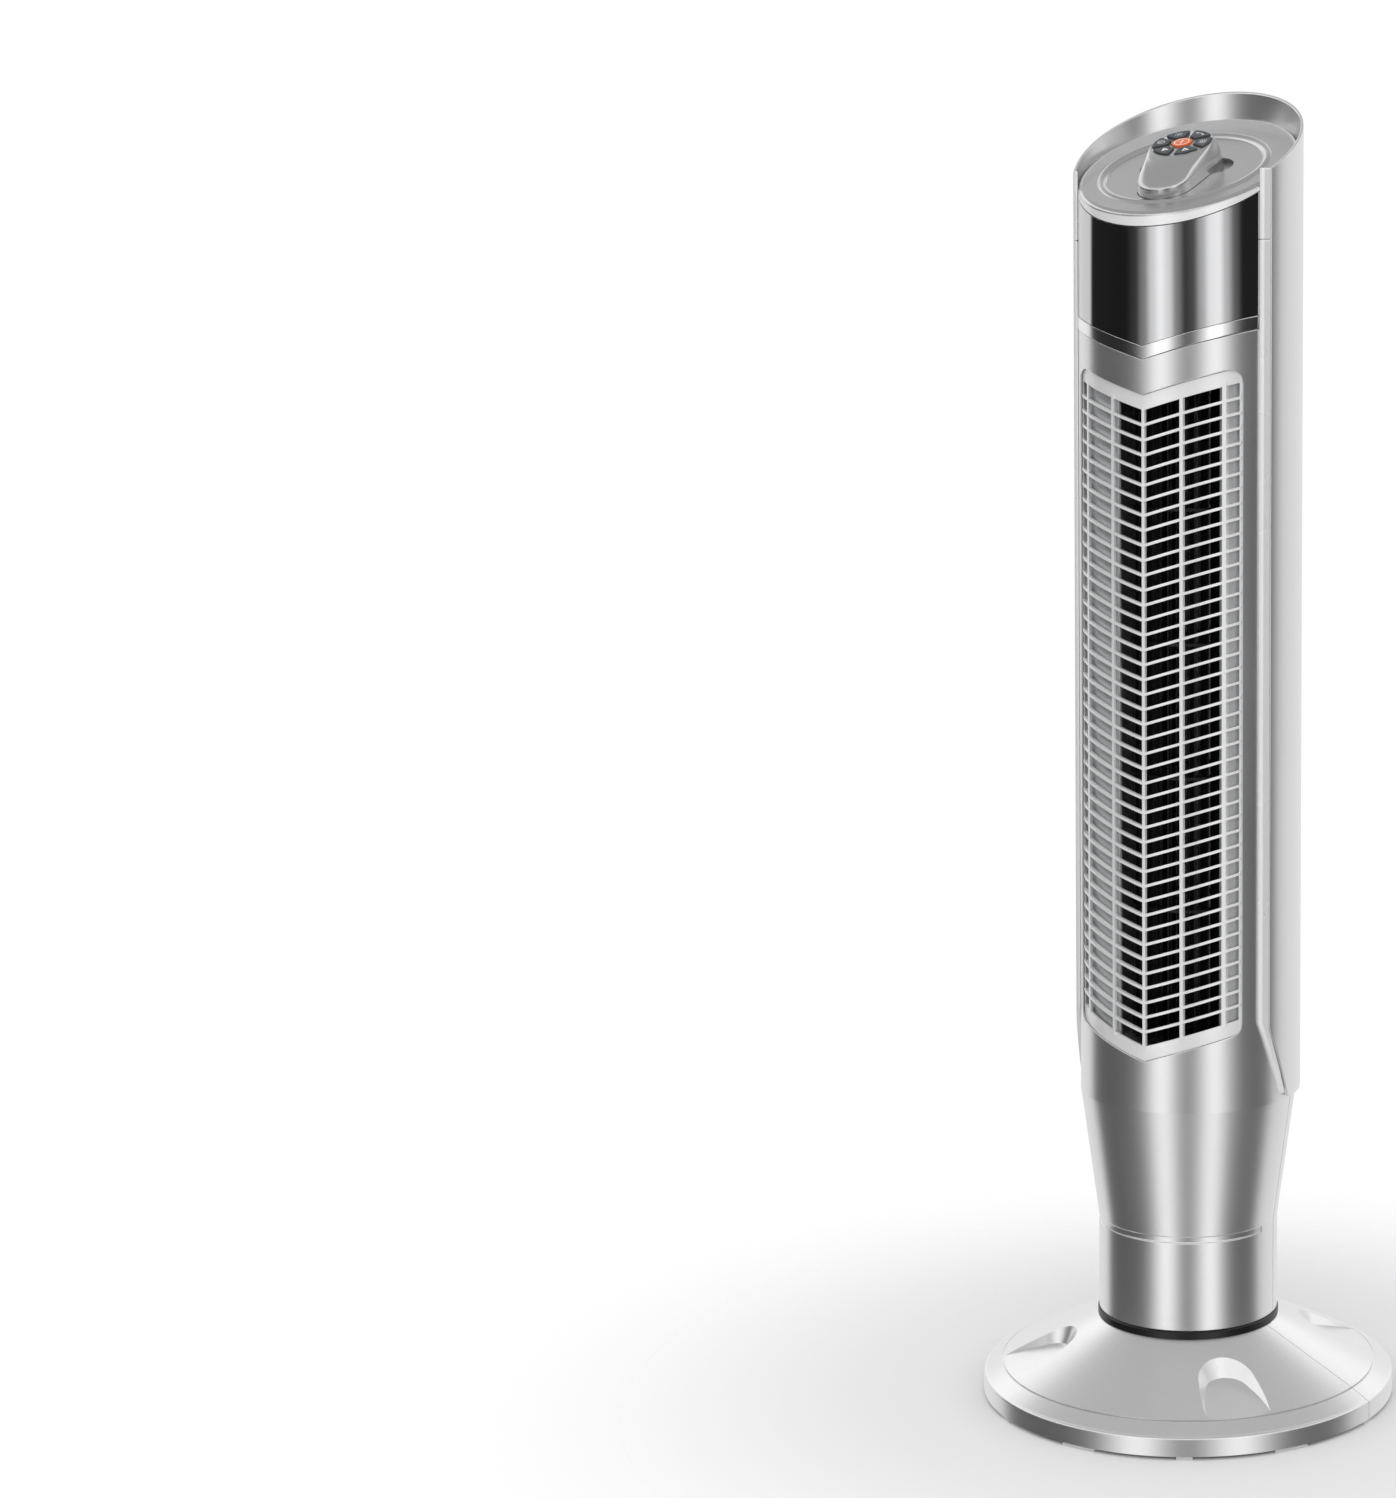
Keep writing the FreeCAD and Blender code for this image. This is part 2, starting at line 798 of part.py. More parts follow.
stands = [
    cylinder(
        f"stand_{i}",
        "stand_radius",
        f"{OSCILLATOR_FOOT} - {TURNTABLE_TOP}",
        f"{side} * (ear_length / 2 - 3)",
        GEAR_DISTANCE,
        TURNTABLE_TOP,
    )
    for i, side in enumerate((-1, 1))
]
part(
    cut(
        "turntable",
        fuse(
            "turntable_solid",
            turned(
                "turntable_disc",
                [
                    ring(
                        "spindle_radius + gap * 2",
                        "column_radius - shell_wall - running",
                        COLUMN_FOOT,
                        TURNTABLE_TOP,
                    )
                ],
            ),
            *stands,
        ),
        turned(
            "ball_track",
            [
                ring(
                    f"{BALL_CIRCLE} - ball_radius",
                    f"{BALL_CIRCLE} + ball_radius",
                    f"{COLUMN_FOOT} - 1",
                    f"{RING_TOP} + ball_radius",
                )
            ],
        ),
    ),
    "turntable_plate",
)

# --- tower shells --------------------------------------------------------------------


def radial_pin(name, radius, start, length, height, angle):
    """Pin that points out from the tower's axis."""
    return place(padded(name, "XZ", [("0", height, radius)], length, start), turn=angle)


SCREW_HEIGHTS = (f"{COWL_FOOT} + 18", f"{SHOULDER} + 16")
COWL_SCREWS = [(angle, height) for angle in (-130, 130) for height in SCREW_HEIGHTS]


def cowl_pins(name, radius, start, length):
    """One radial pin at each cowl screw."""
    return [
        radial_pin(f"{name}_{i}", radius, start, length, height, angle)
        for i, (angle, height) in enumerate(COWL_SCREWS)
    ]


def tower_section(low, high):
    """Section of the column, the taper and the body shell."""
    return [
        ("column_radius - shell_wall", low),
        ("column_radius", low),
        ("column_radius", COLUMN_TOP),
        ("body_radius", BODY_FOOT),
        ("body_radius", high),
        (BODY_BORE, high),
        (BODY_BORE, BODY_FOOT),
        ("column_radius - shell_wall", COLUMN_TOP),
    ]


def above_shoulder(name, clearance):
    """Everything above the line where the window and the shells stop and the deck starts."""
    far = "(cowl_radius + 10)"
    outline = [
        (f"-{far}", f"{window_top('-' + far)} + {clearance}"),
        (f"-{SHOULDER_BACK}", f"{SHOULDER} + {clearance}"),
        (far, f"{SHOULDER} + {clearance}"),
        (far, f"{SHOULDER} + 300"),
        (f"-{far}", f"{SHOULDER} + 300"),
    ]
    return padded(name, "YZ", [outline], "cowl_radius * 3", both_ways=True)


HIGH = f"({WINDOW_FRONT} + body_radius)"
recess = padded(
    "recess_opening",
    "XZ",
    [rounded_chevron("grille_half", RECESS_LOW, RECESS_HIGH, "grille_angle", "grille_corner")],
    "body_radius * 1.2",
    start="body_radius * 0.3",
)
face_opening = padded(
    "face_opening",
    "XZ",
    [chevron("window_half", BAND_LOW, HIGH, "band_angle")],
    "body_radius * 1.2",
    start="body_radius * 0.2",
)
groove_height = f"({COLUMN_TOP} - trim_groove / 2)"
part(
    cut(
        "front_shell",
        turned("front_shell_wall", [tower_section(COLUMN_FOOT, HIGH)], "seam_angle * 2", "0"),
        recess,
        face_opening,
        above_shoulder("front_shell_top", "0"),
        turned(
            "front_trim_groove",
            [
                ring(
                    "column_radius - trim_groove_depth",
                    "column_radius + 2",
                    f"{groove_height} - trim_groove / 2",
                    f"{groove_height} + trim_groove / 2",
                )
            ],
            "156",
            "0",
        ),
    ),
    "front_housing",
)
part(
    cut(
        "rear_shell",
        turned(
            "rear_shell_wall",
            [tower_section(COLUMN_FOOT, f"{BODY_FOOT} + 34")],
            "360 - seam_angle * 2 - 0.5",
            "180",
        ),
        *cowl_pins("rear_shell_hole", "screw_radius", "body_radius - 10", "20"),
    ),
    "rear_housing",
)


def cowl_side(name):
    """Side view of the cowl: upright front edge, a sweep back at the foot and a sloping rim."""
    far = "(cowl_radius + 10)"
    sweep = f"({COWL_FOOT} + cowl_sweep_height)"
    outline = [
        ("-cowl_edge", sweep),
        ("cowl_sweep_back - cowl_edge - 2", f"{COWL_FOOT} + 4"),
        ("cowl_sweep_back - cowl_edge + 4", COWL_FOOT, "7", 1),
        (far, COWL_FOOT),
        (far, cowl_top(far)),
        ("-cowl_edge", cowl_top("-cowl_edge")),
    ]
    return padded(name, "YZ", [outline], "cowl_radius * 3", both_ways=True)


def intake_outline(inset):
    """Rectangle of the rear opening, drawn in by 'inset'."""
    half, low, high = f"({INTAKE_HALF} - {inset})", f"{OPENING_LOW} + {inset}", f"{OPENING_HIGH} - {inset}"
    return [(f"-{half}", low), (half, low), (half, high), (f"-{half}", high)]


INTAKE_HALF = "(grille_half - 8)"
REAR_START = "-body_radius * 1.3"
intake_opening = padded("intake_opening", "XZ", [intake_outline("0")], "body_radius", REAR_START)
part(
    cut(
        "cowl",
        common(
            "cowl_wall_cut",
            turned("cowl_wall", [ring(COWL_BORE, "cowl_radius", COWL_FOOT, f"{COWL_AXIS} + cowl_radius")]),
            cowl_side("cowl_side"),
        ),
        intake_opening,
        *cowl_pins("cowl_hole", "screw_radius", "body_radius - 10", "20"),
    ),
    "rear_cowl",
)


def rail_side(name, low, high):
    """Side view of one length of the trim rail along the cowl's front edge."""
    sweep = f"({COWL_FOOT} + cowl_sweep_height)"
    back = "(-cowl_edge - gap)"
    front = f"({back} - rail_width)"
    if low is None:
        outline = [
            (front, f"{sweep} + 3"),
            ("cowl_sweep_back - cowl_edge - 9", f"{COWL_FOOT} + 5"),
            ("cowl_sweep_back - cowl_edge - 5", f"{COWL_FOOT} + 5"),
            (back, f"{sweep} - 2"),
            (back, high),
            (front, high),
        ]
    else:
        outline = [(front, low), (back, low), (back, cowl_top("-cowl_edge")), (front, cowl_top("-cowl_edge"))]
    return padded(name, "YZ", [outline], "cowl_radius", start="0")


def rail(name, side, low, high):
    """One length of rail on the left (-1) or the right (1)."""
    section = ring("body_radius + running", "cowl_radius - gap", COWL_FOOT, f"{COWL_AXIS} + cowl_radius")
    shell = turned(name + "_ring", [section])
    strip = rail_side(name + "_side", low, high)
    if side < 0:
        place(strip, turn=0)
        bind(strip, ".Placement.Base.x", "-cowl_radius")
    return common(name, shell, strip)


for side, word in ((-1, "left"), (1, "right")):
    part(rail(f"lower_rail_{word}", side, None, f"{RAIL_SPLIT} - gap / 2"), f"lower_trim_rail_{word}")
    part(rail(f"upper_rail_{word}", side, f"{RAIL_SPLIT} + gap / 2", None), f"upper_trim_rail_{word}")

# --- grilles ---------------------------------------------------------------------

BAR_COUNT = int(value("bar_gaps")) - 1


def bar_stack(name, half, angle, start):
    """All the bars of a grille as flat prisms that follow V lines."""
    first_bar = chevron(half, f"{OPENING_LOW} - bar_height / 2", f"{OPENING_LOW} + bar_height / 2", angle)
    stack = padded(name, "XZ", [first_bar], "body_radius", start)
    sketch, pad = stack.Group[0], stack.Group[1]
    bind(sketch, ".AttachmentOffset.Base.y", "bar_pitch")
    pattern = stack.newObject("PartDesign::LinearPattern", name + "_pattern")
    pattern.Originals = [pad]
    pattern.Direction = (sketch, ["V_Axis"])
    bind(pattern, "Length", "bar_pitch * (bar_gaps - 2)")
    pattern.Occurrences = BAR_COUNT
    stack.Tip = pattern
    return stack


def posts(name, places, low, high, start):
    """Upright bars across a grille."""
    return [
        box(
            f"{name}_{i}",
            "post_width",
            "body_radius",
            f"{high} - {low}",
            x,
            f"-({start}) - body_radius / 2",
            low,
        )
        for i, x in enumerate(places)
    ]


FRONT_START = "body_radius * 0.35"
GRILLE_TOP = f"({OPENING_HIGH} + grille_half * tan(grille_angle))"
GRILLE_FACE = "(body_radius - grille_inset)"
FRAME_HALF = "(grille_half - gap)"
grille_ring = turned(
    "grille_ring",
    [
        ring(
            f"{GRILLE_FACE} + bar_proud - bar_depth",
            f"{GRILLE_FACE} + bar_proud",
            RECESS_LOW,
            f"{GRILLE_TOP} + grille_apron * 2",
        )
    ],
)
frame_ring = turned(
    "frame_ring",
    [ring(f"{GRILLE_FACE} - frame_depth", GRILLE_FACE, RECESS_LOW, f"{GRILLE_TOP} + grille_apron * 2")],
)
frame_outside = padded(
    "frame_outside",
    "XZ",
    [
        rounded_chevron(
            FRAME_HALF,
            f"{RECESS_LOW} + gap",
            f"{RECESS_HIGH} - gap",
            "grille_angle",
            "grille_corner - gap",
        )
    ],
    "body_radius",
    FRONT_START,
)
frame_inside = padded(
    "frame_inside",
    "XZ",
    [chevron(f"{FRAME_HALF} - frame_width", OPENING_LOW, OPENING_HIGH, "grille_angle")],
    "body_radius * 1.1",
    f"{FRONT_START} - 5",
)
POST_PLACES = ["body_radius * sin(" + str(angle) + ")" for angle in (-42, -19, 0, 20, 42)]
part(
    fuse(
        "grille",
        cut("grille_frame", common("grille_plate", frame_ring, frame_outside), frame_inside),
        common(
            "grille_bars",
            grille_ring,
            bar_stack("front_stack", f"{FRAME_HALF} - 1", "grille_angle", FRONT_START),
        ),
        common(
            "grille_posts",
            turned(
                "post_ring",
                [
                    ring(
                        f"{GRILLE_FACE} + bar_proud - bar_depth",
                        f"{GRILLE_FACE} + post_proud",
                        RECESS_LOW,
                        HIGH,
                    )
                ],
            ),
            common(
                "post_span",
                fuse("front_posts", *posts("front_post", POST_PLACES, OPENING_LOW, GRILLE_TOP, FRONT_START)),
                padded(
                    "post_limits",
                    "XZ",
                    [chevron(FRAME_HALF, f"{OPENING_LOW} - 3", f"{OPENING_HIGH} + 3", "grille_angle")],
                    "body_radius * 1.1",
                    f"{FRONT_START} - 5",
                ),
            ),
        ),
    ),
    "front_grille",
)

INTAKE_FACE = "(cowl_radius - 1)"
intake_ring = turned("intake_ring", [ring(f"{INTAKE_FACE} - 2.6", INTAKE_FACE, OPENING_LOW, OPENING_HIGH)])
REAR_POSTS = [f"{INTAKE_HALF} * {share}" for share in (-0.5, 0, 0.5)]
part(
    fuse(
        "intake",
        cut(
            "intake_frame",
            common(
                "intake_plate",
                intake_ring,
                padded("intake_outside", "XZ", [intake_outline("gap")], "body_radius", REAR_START),
            ),
            padded("intake_inside", "XZ", [intake_outline("5")], "body_radius * 1.1", f"{REAR_START} - 5"),
        ),
        common("intake_bars", intake_ring, bar_stack("rear_stack", f"{INTAKE_HALF} - 3", "0", REAR_START)),
        common(
            "intake_posts",
            intake_ring,
            fuse(
                "rear_posts",
                *posts("rear_post", REAR_POSTS, f"{OPENING_LOW} + 2", f"{OPENING_HIGH} - 2", REAR_START),
            ),
        ),
    ),
    "rear_intake_grille",
)

# --- window, band and deck ------------------------------------------------------------

FACE_START = "(body_radius * 0.25)"
BAND_HALF = "sqrt(body_radius^2 - (cowl_edge + rail_width + gap * 2)^2)"
window_ring = turned("window_ring", [ring("body_radius - window_wall", "body_radius", BAND_LOW, HIGH)])
part(
    cut(
        "window",
        common(
            "window_plate",
            window_ring,
            padded(
                "window_front",
                "XZ",
                [chevron("window_half - gap", WINDOW_LOW, HIGH, "band_angle")],
                "body_radius",
                FACE_START,
            ),
        ),
        above_shoulder("window_top_cut", "-gap"),
    ),
    "display_window",
)
part(
    common(
        "band",
        turned(
            "band_ring",
            [ring("body_radius - window_wall", "body_radius + band_proud", RECESS_HIGH, HIGH)],
        ),
        padded(
            "band_front",
            "XZ",
            [chevron(BAND_HALF, f"{BAND_LOW} + gap", f"{BAND_LOW} + band_height", "band_angle")],
            "body_radius",
            FACE_START,
        ),
    ),
    "chrome_band",
)

HEAD_V = "(-head_shift)"


def capsule(head, tail, reach=None, head_v=None):
    """Outline of two circles of different radii and their tangents, the small one at the front."""
    reach = reach or "remote_reach"
    head_v = head_v or HEAD_V
    tail_v = f"({head_v} - {reach})"
    lean = f"((({head}) - ({tail})) / ({reach}))"
    spread = f"sqrt(1 - {lean} * {lean})"
    return [
        (f"({tail}) * {spread}", f"{tail_v} - ({tail}) * {lean}", tail, 1),
        (f"({head}) * {spread}", f"{head_v} - ({head}) * {lean}"),
        ("0", f"{head_v} + ({head})", head, 1),
        (f"-({head}) * {spread}", f"{head_v} - ({head}) * {lean}", head, 1),
        (f"-({tail}) * {spread}", f"{tail_v} - ({tail}) * {lean}"),
    ]


def deck_pad(name, outlines, low, length):
    return on_deck(padded(name, "XY", outlines, length, low))


def deck_profile(name, drop, bottom=None):
    """Side view of the space under the deck's flat top, lowered by 'drop'."""
    far = "(cowl_radius + 10)"
    foot_line = bottom or SHOULDER
    outline = [
        (f"-{far}", f"{window_top('-' + far)} + gap" if bottom is None else bottom),
        (f"-{SHOULDER_BACK}", f"{foot_line} + gap"),
        (far, f"{foot_line} + gap"),
        (far, f"{deck_top(far)} - {drop}"),
        (f"-{far}", f"{deck_top('-' + far)} - {drop}"),
    ]
    return padded(name, "YZ", [outline], "cowl_radius * 3", both_ways=True)


DECK_DROP = "(deck_slab / cos(deck_tilt))"
deck_solid = common(
    "deck_solid",
    cylinder("deck_round", "body_radius - gap", "body_radius * 3", z=f"{WINDOW_FRONT} - body_radius"),
    deck_profile("deck_side", "0"),
)
doc.recompute()
rim_edges = [
    i + 1
    for i, edge in enumerate(deck_solid.Shape.Edges)
    if all(
        abs(v.Point.z - value(DECK_AXIS) - v.Point.y * math.tan(math.radians(value("deck_tilt")))) < 0.01
        for v in edge.Vertexes
    )
]
deck_rounded = doc.addObject("Part::Fillet", "deck_rounded")
deck_rounded.Base = deck_solid
deck_rounded.Edges = [(i, value("deck_edge"), value("deck_edge")) for i in rim_edges]
DISH_CENTRE = "(-dish_shift)"


def on_dish(thing):
    """Put a ring turned about the deck's own normal on the centre of the dish."""
    centre_z = f"{DECK_AXIS} + {DISH_CENTRE} * sin(deck_tilt)"
    return place(thing, y=f"{DISH_CENTRE} * cos(deck_tilt)", z=centre_z, turn="deck_tilt", axis=X_AXIS)


DISH_EDGE = "(dish_radius - bead_half_width)"
dish = on_dish(
    turned(
        "dish",
        [
            [
                ("0", "-dish_depth"),
                (f"{DISH_EDGE} - dish_depth", "-dish_depth"),
                (f"{DISH_EDGE} + 1", "1"),
                ("0", "1"),
            ]
        ],
    )
)
BEAD_RADIUS = "((bead_half_width^2 + bead_height^2) / bead_height / 2)"
bead = on_dish(
    turned(
        "bead",
        [
            [
                (DISH_EDGE, "-dish_depth * 2"),
                ("dish_radius + bead_half_width", "-dish_depth * 2"),
                ("dish_radius + bead_half_width", "0"),
                (DISH_EDGE, "0", BEAD_RADIUS, 1),
            ]
        ],
    )
)
POCKET_LOW = "(-remote_depth - gap)"
POCKET_HEAD = "head_radius + gap * 2"
POCKET_TAIL = "tail_radius + gap * 2"
part(
    cut(
        "deck",
        fuse("deck_with_bead", cut("deck_dished", deck_rounded, dish), bead),
        common(
            "deck_hollow",
            cylinder(
                "deck_hollow_round",
                "body_radius - gap - deck_wall",
                "body_radius * 3",
                z=f"{WINDOW_FRONT} - body_radius",
            ),
            deck_profile("deck_hollow_side", DECK_DROP, f"({WINDOW_FRONT} - body_radius / 2)"),
        ),
        deck_pad("remote_pocket", [capsule(POCKET_HEAD, POCKET_TAIL)], POCKET_LOW, "remote_depth * 3"),
        *[
            deck_pad(
                f"finger_notch_{i}",
                [(f"{side} * (head_radius - finger_radius + finger_reach)", HEAD_V, "finger_radius")],
                POCKET_LOW,
                "remote_depth * 3",
            )
            for i, side in enumerate((-1, 1))
        ],
        *cowl_pins("deck_hole", "screw_radius", "body_radius - 10", "20"),
    ),
    "top_deck",
)

# --- remote control ---------------------------------------------------------------


def remote_body(name, inset, low, high):
    """Loft from the remote's capsule outline up to its round face, drawn in by 'inset'."""
    body = new_body(name)
    foot_outline = capsule(f"head_radius - {inset}", f"tail_radius - {inset}")
    face_outline = capsule(f"face_radius - {inset}", f"face_radius - {inset} - 0.6", "3")
    lower = add_sketch(body, "XY", [foot_outline], low)
    upper = add_sketch(body, "XY", [face_outline], high)
    loft = body.newObject("PartDesign::AdditiveLoft", name + "_loft")
    loft.Profile = lower
    loft.Sections = [upper]
    loft.Ruled = True
    return on_deck(body)


def sector(angle, inner, outer, gap_width):
    """Outline of one key round the power button, centred on an angle from +u."""
    corners = []
    for radius, end, side in ((outer, -1, 0), (outer, 1, 1), (inner, 1, 0), (inner, -1, -1)):
        lean = f"({angle} + {end} * (30 - ({gap_width}) / 2 / ({radius}) * 180 / pi))"
        spot = (f"({radius}) * cos{lean}", f"{HEAD_V} + ({radius}) * sin{lean}")
        corners.append(spot + (radius, side) if side else spot)
    return corners


KEY_ANGLES = {
    "timer_button": 180,
    "ionizer_button": 120,
    "oscillation_button": 60,
    "mode_button": 0,
    "minus_button": 240,
    "plus_button": 300,
}
KEY_FOOT = "(remote_rise + key_proud - key_height)"
MAT_HIGH = f"({KEY_FOOT} - key_travel - gap / 2)"


def key_hole(name, outline):
    """Hole through the remote's face and the space under it."""
    return deck_pad(name + "_hole", [outline], "remote_split + remote_wall * 2", "remote_rise")


holes = [
    key_hole(name, sector(angle, "key_inner - gap", "key_outer + gap", "key_gap - gap * 2"))
    for name, angle in KEY_ANGLES.items()
]
holes.append(key_hole("power", ("0", HEAD_V, "power_radius + gap")))
part(
    cut(
        "remote_top",
        remote_body("remote_outside", "0", "remote_split", "remote_rise"),
        remote_body("remote_inside", "remote_wall", "remote_split - 0.01", "remote_rise - remote_wall"),
        *holes,
    ),
    "remote_top_shell",
)
for name, angle in KEY_ANGLES.items():
    key_outline = sector(angle, "key_inner", "key_outer", "key_gap")
    part(deck_pad(name + "_cap", [key_outline], KEY_FOOT, "key_height"), name)
part(deck_pad("power_cap", [("0", HEAD_V, "power_radius")], KEY_FOOT, "key_height"), "power_button")
MAT_RADIUS = "face_radius - remote_wall - gap * 2"
part(
    deck_pad("mat", [("0", HEAD_V, MAT_RADIUS)], f"{MAT_HIGH} - mat_height", "mat_height"),
    "remote_keypad_mat",
)
BOARD_HIGH = f"({MAT_HIGH} - mat_height - running)"
part(
    deck_pad(
        "remote_pcb",
        [("0", HEAD_V, MAT_RADIUS)],
        f"{BOARD_HIGH} - board_thickness",
        "board_thickness",
    ),
    "remote_circuit_board",
)
COVER_V = f"({HEAD_V} - remote_reach * 0.1)"
part(
    cut(
        "remote_tray",
        deck_pad(
            "tray_outside",
            [capsule("head_radius", "tail_radius")],
            "-remote_depth",
            "remote_depth + remote_split",
        ),
        deck_pad(
            "tray_inside",
            [capsule("head_radius - remote_wall", "tail_radius - remote_wall")],
            "-remote_depth + remote_wall",
            "remote_depth + remote_split",
        ),
        deck_pad("cell_hole", [("0", COVER_V, "cover_radius + gap / 2")], "-remote_depth - 1", "4"),
    ),
    "remote_bottom_shell",
)
part(
    deck_pad("cell_cover", [("0", COVER_V, "cover_radius")], "-remote_depth", "remote_wall"),
    "remote_battery_cover",
)
part(
    deck_pad("cell", [("0", COVER_V, "cell_radius")], "-remote_depth + remote_wall", "cell_height"),
    "remote_coin_cell",
)

# --- blower ------------------------------------------------------------------------

AXIS_Y = "impeller_shift"


def round_wall(name, inner, outer, first, last, low, high, y="0"):
    """Part of a cylinder wall between two angles, counted from +X."""
    corners = []
    for radius, angle, side in ((outer, first, 0), (outer, last, 1), (inner, last, 0), (inner, first, -1)):
        spot = (f"({radius}) * cos({angle})", f"({y}) + ({radius}) * sin({angle})")
        corners.append(spot + (radius, side) if side else spot)
    return padded(name, "XY", [corners], f"{high} - {low}", low)


def flat_wall(name, start, end, low, high):
    """Straight duct wall between two (x, y) spots, one wall thick on its left."""
    (x0, y0), (x1, y1) = start, end
    length = f"sqrt((({x1}) - ({x0}))^2 + (({y1}) - ({y0}))^2)"
    nx = f"(-(({y1}) - ({y0})) / {length} * duct_wall)"
    ny = f"((({x1}) - ({x0})) / {length} * duct_wall)"
    corners = [(x0, y0), (x1, y1), (f"({x1}) + {nx}", f"({y1}) + {ny}"), (f"({x0}) + {nx}", f"({y0}) + {ny}")]
    return padded(name, "XY", [corners], f"{high} - {low}", low)


DUCT_LOW = f"({MOTOR_PLATE} + motor_plate_height)"
DUCT_HIGH = BEARING_PLATE
LIP = "(body_radius - grille_inset - bar_depth - 0.5)"
SCROLL = "(impeller_radius + 11)"


def spot(radius, angle, y="0"):
    return (f"({radius}) * cos({angle})", f"({y}) + ({radius}) * sin({angle})")


part(
    fuse(
        "scroll",
        round_wall("scroll_lip", f"{LIP} - duct_wall", LIP, "-142", "-107.5", DUCT_LOW, DUCT_HIGH),
        flat_wall(
            "scroll_flat",
            spot(f"{LIP} - 1", "-108.5"),
            spot(f"{SCROLL} + 0.5", "201", AXIS_Y),
            DUCT_LOW,
            DUCT_HIGH,
        ),
        round_wall("scroll_round", SCROLL, f"{SCROLL} + duct_wall", "50", "203", DUCT_LOW, DUCT_HIGH, AXIS_Y),
    ),
    "scroll_casing",
)
part(
    fuse(
        "vortex",
        round_wall("vortex_lip", f"{LIP} - duct_wall", LIP, "-48", "-36", DUCT_LOW, DUCT_HIGH),
        flat_wall(
            "vortex_flat",
            spot("impeller_radius + 6", "-40", AXIS_Y),
            spot(f"{LIP} - 1", "-47"),
            DUCT_LOW,
            DUCT_HIGH,
        ),
    ),
    "vortex_wall",
)


def impeller_disc(name, inner, low, height):
    return place(turned(name, [ring(inner, "impeller_radius", low, f"({low}) + {height}")]), y=AXIS_Y)


BLADE_COUNT = int(value("blades"))
STAGES = int(value("stages"))
blade_body = padded(
    "blade",
    "XY",
    [
        [
            ("impeller_radius - 1", "-0.5"),
            ("impeller_radius - 1", "0.5"),
            ("impeller_radius - blade_chord", "-2.5", "14", 1),
            ("impeller_radius - blade_chord", "-3.7"),
        ]
    ],
    f"{BLOWER_TOP} - {BLOWER_FOOT} - 1",
    f"{BLOWER_FOOT} + 0.5",
)
blade_pattern = blade_body.newObject("PartDesign::PolarPattern", "blade_pattern")
blade_pattern.Originals = [blade_body.Group[1]]
blade_pattern.Axis = (blade_body.Group[0], ["N_Axis"])
blade_pattern.Angle = 360
blade_pattern.Occurrences = BLADE_COUNT
blade_body.Tip = blade_pattern
place(blade_body, y=AXIS_Y)
BLOWER_HEIGHT = f"({BLOWER_TOP} - {BLOWER_FOOT})"
STAGE = f"(({BLOWER_HEIGHT} - 3) / {STAGES})"
discs = [
    impeller_disc("impeller_foot", "shaft_radius", BLOWER_FOOT, "3"),
    impeller_disc("impeller_head", "shaft_radius", f"{BLOWER_TOP} - 3", "3"),
]
discs += [
    impeller_disc(
        f"impeller_web_{i}", "impeller_radius - blade_chord", f"{BLOWER_FOOT} + {STAGE} * {i}", "2.5"
    )
    for i in range(1, STAGES)
]
part(fuse("rotor_cage", blade_body, *discs), "impeller")
MOTOR_HIGH = f"({MOTOR_PLATE} - mount_height)"
MOTOR_LOW = f"({MOTOR_HIGH} - motor_height)"
part(
    cylinder(
        "shaft",
        "shaft_radius",
        f"{BEARING_PLATE} + 2 - {MOTOR_LOW} - 4",
        y=AXIS_Y,
        z=f"{MOTOR_LOW} + 4",
    ),
    "impeller_shaft",
)


def blower_ring(name, inner, outer, low, high):
    return place(turned(name, [ring(inner, outer, low, high)]), y=AXIS_Y)


ROTOR_RADIUS = "(motor_radius * 0.55)"
part(
    blower_ring("rotor", "shaft_radius", ROTOR_RADIUS, f"{MOTOR_LOW} + 8", f"{MOTOR_HIGH} - 8"),
    "motor_rotor",
)
part(
    blower_ring(
        "stator",
        f"{ROTOR_RADIUS} + 0.8",
        "motor_radius - 2",
        f"{MOTOR_LOW} + 7",
        f"{MOTOR_HIGH} - 7",
    ),
    "motor_stator",
)
SHAFT_HOLE = "(shaft_radius + 1)"
case = turned(
    "case",
    [
        [
            (SHAFT_HOLE, MOTOR_LOW),
            ("motor_radius", MOTOR_LOW),
            ("motor_radius", MOTOR_HIGH),
            (SHAFT_HOLE, MOTOR_HIGH),
            (SHAFT_HOLE, f"{MOTOR_HIGH} - 2"),
            ("motor_radius - 2", f"{MOTOR_HIGH} - 2"),
            ("motor_radius - 2", f"{MOTOR_LOW} + 2"),
            (SHAFT_HOLE, f"{MOTOR_LOW} + 2"),
        ]
    ],
)
part(place(case, y=AXIS_Y), "motor_case")
MOUNT_CIRCLE = "(motor_radius - 8)"
part(
    group(
        "motor_mounts",
        [
            cylinder(
                f"motor_mount_{i}",
                "mount_radius",
                "mount_height",
                f"{MOUNT_CIRCLE} * cos({angle})",
                f"{AXIS_Y} + {MOUNT_CIRCLE} * sin({angle})",
                MOTOR_HIGH,
            )
            for i, angle in enumerate((45, 135, 225, 315))
        ],
    ),
    "motor_rubber_mounts",
)
BUSH_RADIUS = "(shaft_radius + 5)"
for name, label, low, thick in (
    ("motor_plate", "motor_mounting_plate", MOTOR_PLATE, "motor_plate_height"),
    ("bearing_plate", "upper_bearing_plate", BEARING_PLATE, "bearing_plate_height"),
):
    part(
        cut(
            name,
            cylinder(name + "_disc", f"{BODY_BORE} - gap", thick, z=low),
            cylinder(name + "_hole", BUSH_RADIUS, "12", y=AXIS_Y, z=f"{low} - 4"),
        ),
        label,
    )
    part(
        blower_ring(name + "_bush", "shaft_radius + running", BUSH_RADIUS, low, f"{low} + {thick}"),
        label.replace("mounting_plate", "shaft_bush").replace("bearing_plate", "shaft_bush"),
    )

# --- electronics -------------------------------------------------------------------

